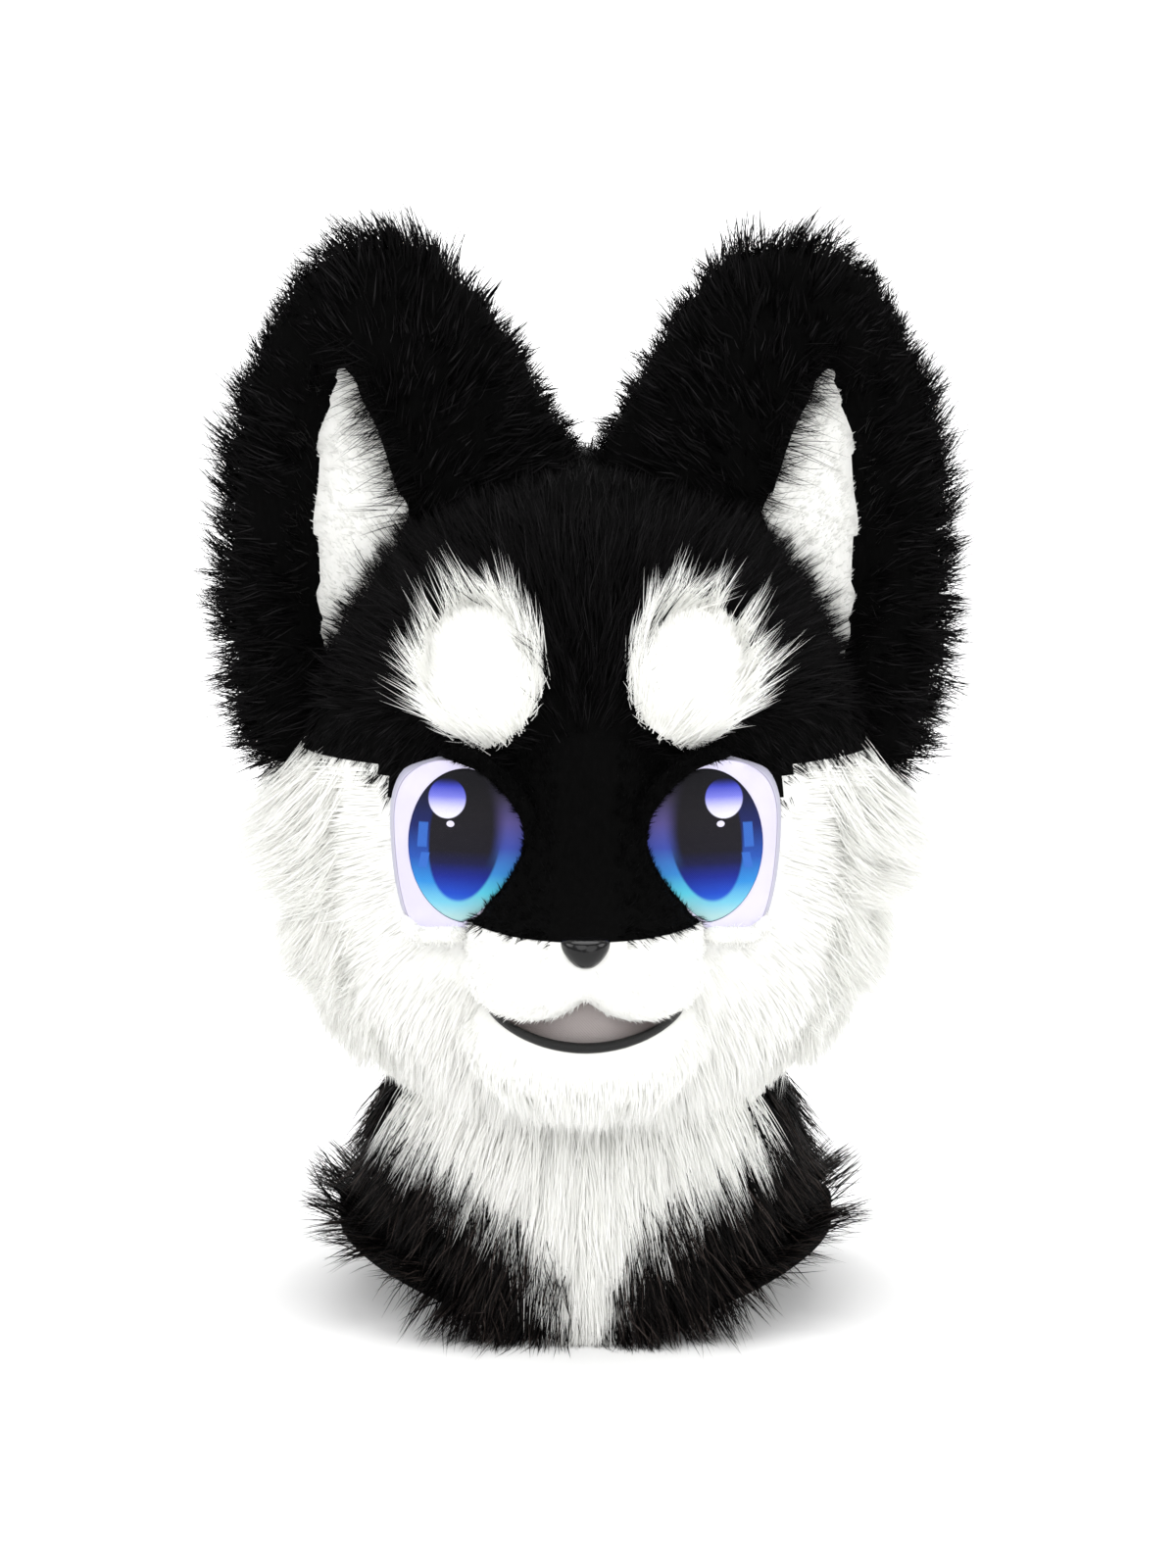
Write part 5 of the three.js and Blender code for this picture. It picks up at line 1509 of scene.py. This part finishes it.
def comb_ear(skins, side, name, rng):
    flat = lining_flat(side)
    outward = outward_of(flat)
    spine = side * (EAR_REACH - 0.5 * EAR_WIDTH)

    def keep(p):
        pocket = inside_outline(flat + outward * 0.001, p[:, 0], p[:, 2])
        return ~(pocket & (p[:, 1] < MIDDLE_Y - EAR_OFFSET))

    def beside(p):
        near = inside_outline(flat + outward * 0.009, p[:, 0], p[:, 2])
        inner = side * (p[:, 0] - flat[:, 0].mean()) < 0.004
        return near & inner & keep(p) & (p[:, 1] < MIDDLE_Y - EAR_OFFSET - 0.008)

    for part, spacing, width, steps in (("rim", 0.0039, 0.0006, 3), ("face", 0.0064, 0.0011, 2)):
        roots, normals = skins["ear"].scatter(spacing, rng, keep)
        mask = (np.abs(normals[:, 1]) < 0.8) == (part == "rim")
        roots, normals = roots[mask], normals[mask]
        up = (roots[:, 2] - EAR_FOOT) / EAR_TALL
        out = np.clip((roots[:, 0] - spine) / 0.045, -1, 1)
        flow = along_skin(np.stack([out, 0 * out, 1.5 * up - 0.45], axis=1), normals)
        edge = 1 - fade(0.3, 0.8, np.abs(normals[:, 1]))
        inner = fade(0.1, 0.7, -side * out)
        corner = fade(0.45, 0.85, side * out) * fade(0.66, 0.82, up)
        length = (0.012 + 0.006 * edge + 0.003 * fade(0.8, 1.0, up)) * rng.uniform(0.6, 1.35, len(up))
        length = length * (1 - 0.5 * inner * edge - 0.5 * corner)
        lift = 0.28 + 0.27 * edge * (1 - 0.6 * inner)
        comb(f"ear_{part}_hair_{name}", BLACK_HAIR, roots, normals, flow, length, rng,
             strands=8, steps=steps, width=width, lift=lift, droop=0.0, spread=0.0028, clump=0.45, curl=0.15)
    roots, normals = skins["ear"].scatter(0.0030, rng, beside)
    flow = along_skin((side, 0, -0.3), normals)
    comb(f"ear_fringe_{name}", BLACK_HAIR, roots, normals, flow, 0.017, rng, strands=5,
         width=0.00045, lift=0.25, droop=0.0, spread=0.0022, clump=0.3, curl=0.22)
    roots, normals = skins["lining"].scatter(0.0021, rng, lambda p: (
        p[:, 1] < MIDDLE_Y - EAR_OFFSET - ear_thickness(p[:, 2]) / 2 + 0.013))
    flow = along_skin((side * 0.6, 0, 0.5), normals)
    comb(f"lining_nap_{name}", WHITE_NAP, roots, normals, flow, 0.0036, rng, strands=4,
         steps=2, width=0.0007, lift=0.35, droop=0, spread=0.0010, clump=0.2, curl=0.10, twist=0.2)


def comb_spot(skin, side, name, rng):
    matrix = np.array(spot_matrix(side))
    front = -matrix[:3, 1]
    pole = matrix[:3, 3] + (-side * 0.010, 0, -0.022)
    lean = unit(np.array((side * 0.64, 0, 0.77)))
    roots, normals = skin.scatter(0.0017, rng, lambda p: (p - matrix[:3, 3]) @ front > -0.002)
    flow = along_skin(fan(roots, pole), normals)
    normals = unit(0.35 * normals + 0.65 * front)
    comb(f"spot_hair_{name}", WHITE_HAIR, roots, normals, flow, 0.0065, rng,
         strands=4, steps=2, width=0.0007, lift=0.22, droop=0, spread=0.0012, clump=0.2, curl=0.07, twist=0.2)
    local = (roots - matrix[:3, 3]) @ matrix[:3, :3] / SPOT_HALF
    fringe = fade(0.55, 0.95, flow @ lean) * fade(0.45, 1.0, np.hypot(local[:, 0], local[:, 2]))
    fringe = fringe * fade(-0.1, 0.4, flow[:, 2])
    long = fringe > 0.04
    outer = fade(0.5, 0.95, side * flow[:, 0])
    length = (0.004 + (0.019 + 0.003 * outer) * fringe) * rng.uniform(0.6, 1.1, len(fringe))
    lift = 0.12 + 0.06 * fringe
    comb(f"spot_fringe_{name}", WHITE_HAIR, roots[long], normals[long], flow[long],
         length[long], rng, strands=8, width=0.00052, lift=lift[long], droop=-0.03, spread=0.0016,
         clump=0.3, curl=0.09, twist=0.2)


def set_stage():
    """A pale floor that rises behind into a plain backdrop, with soft light."""
    bpy.ops.mesh.primitive_plane_add(size=1)
    floor = bpy.context.object
    floor.name = "floor"
    profile = [(STAGE_FRONT, 0.0), (STAGE_BACK, 0.0)]
    for turn in np.linspace(0.1, math.pi / 2, 14):
        across, up = math.sin(turn) * STAGE_BEND, math.cos(turn) * STAGE_BEND
        profile.append((STAGE_BACK + across, STAGE_BEND - up))
    profile.append((STAGE_BACK + STAGE_BEND, STAGE_TOP))
    points = [(x, y, z) for y, z in profile for x in (-STAGE_SIDE, STAGE_SIDE)]
    faces = [(2 * i, 2 * i + 1, 2 * i + 3, 2 * i + 2) for i in range(len(profile) - 1)]
    floor.data.clear_geometry()
    floor.data.from_pydata(points, [], faces)
    smoothed(floor)
    made = Finish("studio_paper", base_color=(0.93, 0.93, 0.93, 1), roughness=0.9, specular_level=0.1)
    floor.data.materials.append(made.material)
    for name, place, size, power in (
        ("key", (-0.7, -2.3, 1.5), 1.8, 17),
        ("fill", (0.9, -2.2, 0.9), 1.8, 12.5),
        ("side_left", (-1.9, -0.8, 1.2), 1.4, 16),
        ("side_right", (1.9, -0.8, 1.2), 1.4, 16),
        ("top", (0.0, 0.1, 2.0), 1.6, 17),
        ("wash", (0.0, 1.3, 2.2), 2.5, 80),
    ):
        data = bpy.data.lights.new(name, "AREA")
        data.shape = "DISK"
        data.size = size
        data.energy = power
        light = bpy.data.objects.new(name, data)
        target = Vector((0, 3.2, 0.7)) if name == "wash" else Vector((0, MIDDLE_Y, 0.22))
        light.location = place
        light.rotation_euler = (target - Vector(place)).to_track_quat("-Z", "Y").to_euler()
        bpy.context.collection.objects.link(light)
    world = bpy.data.worlds.new("studio")
    world.use_nodes = True
    world.node_tree.nodes["Background"].inputs[0].default_value = (1, 1, 1, 1)
    world.node_tree.nodes["Background"].inputs[1].default_value = 0.62
    bpy.context.scene.world = world
    bpy.context.scene.view_settings.view_transform = "Standard"


def set_camera():
    data = bpy.data.cameras.new("camera")
    data.sensor_width = 36
    data.lens = LENS
    camera = bpy.data.objects.new("camera", data)
    target = Vector((0.001, MIDDLE_Y, CAMERA_HEIGHT))
    camera.location = target + CAMERA_REACH * Vector((0, -math.cos(CAMERA_RISE), math.sin(CAMERA_RISE)))
    camera.rotation_euler = (target - camera.location).to_track_quat("-Z", "Y").to_euler()
    bpy.context.collection.objects.link(camera)
    bpy.context.scene.camera = camera


SIDES = ((-1, "left"), (1, "right"))
set_camera()
set_stage()
head_skins = build_head()
neck_skins = build_neck()
snout_skins = build_snout()
comb_hood(head_skins["hood"], np.random.default_rng(11))
comb_face({"face": head_skins["face"], "jaw": snout_skins["jaw"]}, np.random.default_rng(12))
comb_cheeks(head_skins["face"], np.random.default_rng(13))
comb_throat({"face": head_skins["face"], "bib": neck_skins["bib"]}, np.random.default_rng(16))
comb_neck(neck_skins, np.random.default_rng(14))
comb_snout(snout_skins, np.random.default_rng(15))
for number, (turn, word) in enumerate(SIDES):
    comb_edges(build_eye(turn, word), word, np.random.default_rng(40 + number))
    comb_ear(build_ear(turn, word), turn, word, np.random.default_rng(20 + number))
    comb_spot(build_spot(turn, word), turn, word, np.random.default_rng(30 + number))

bpy.context.view_layer.update()
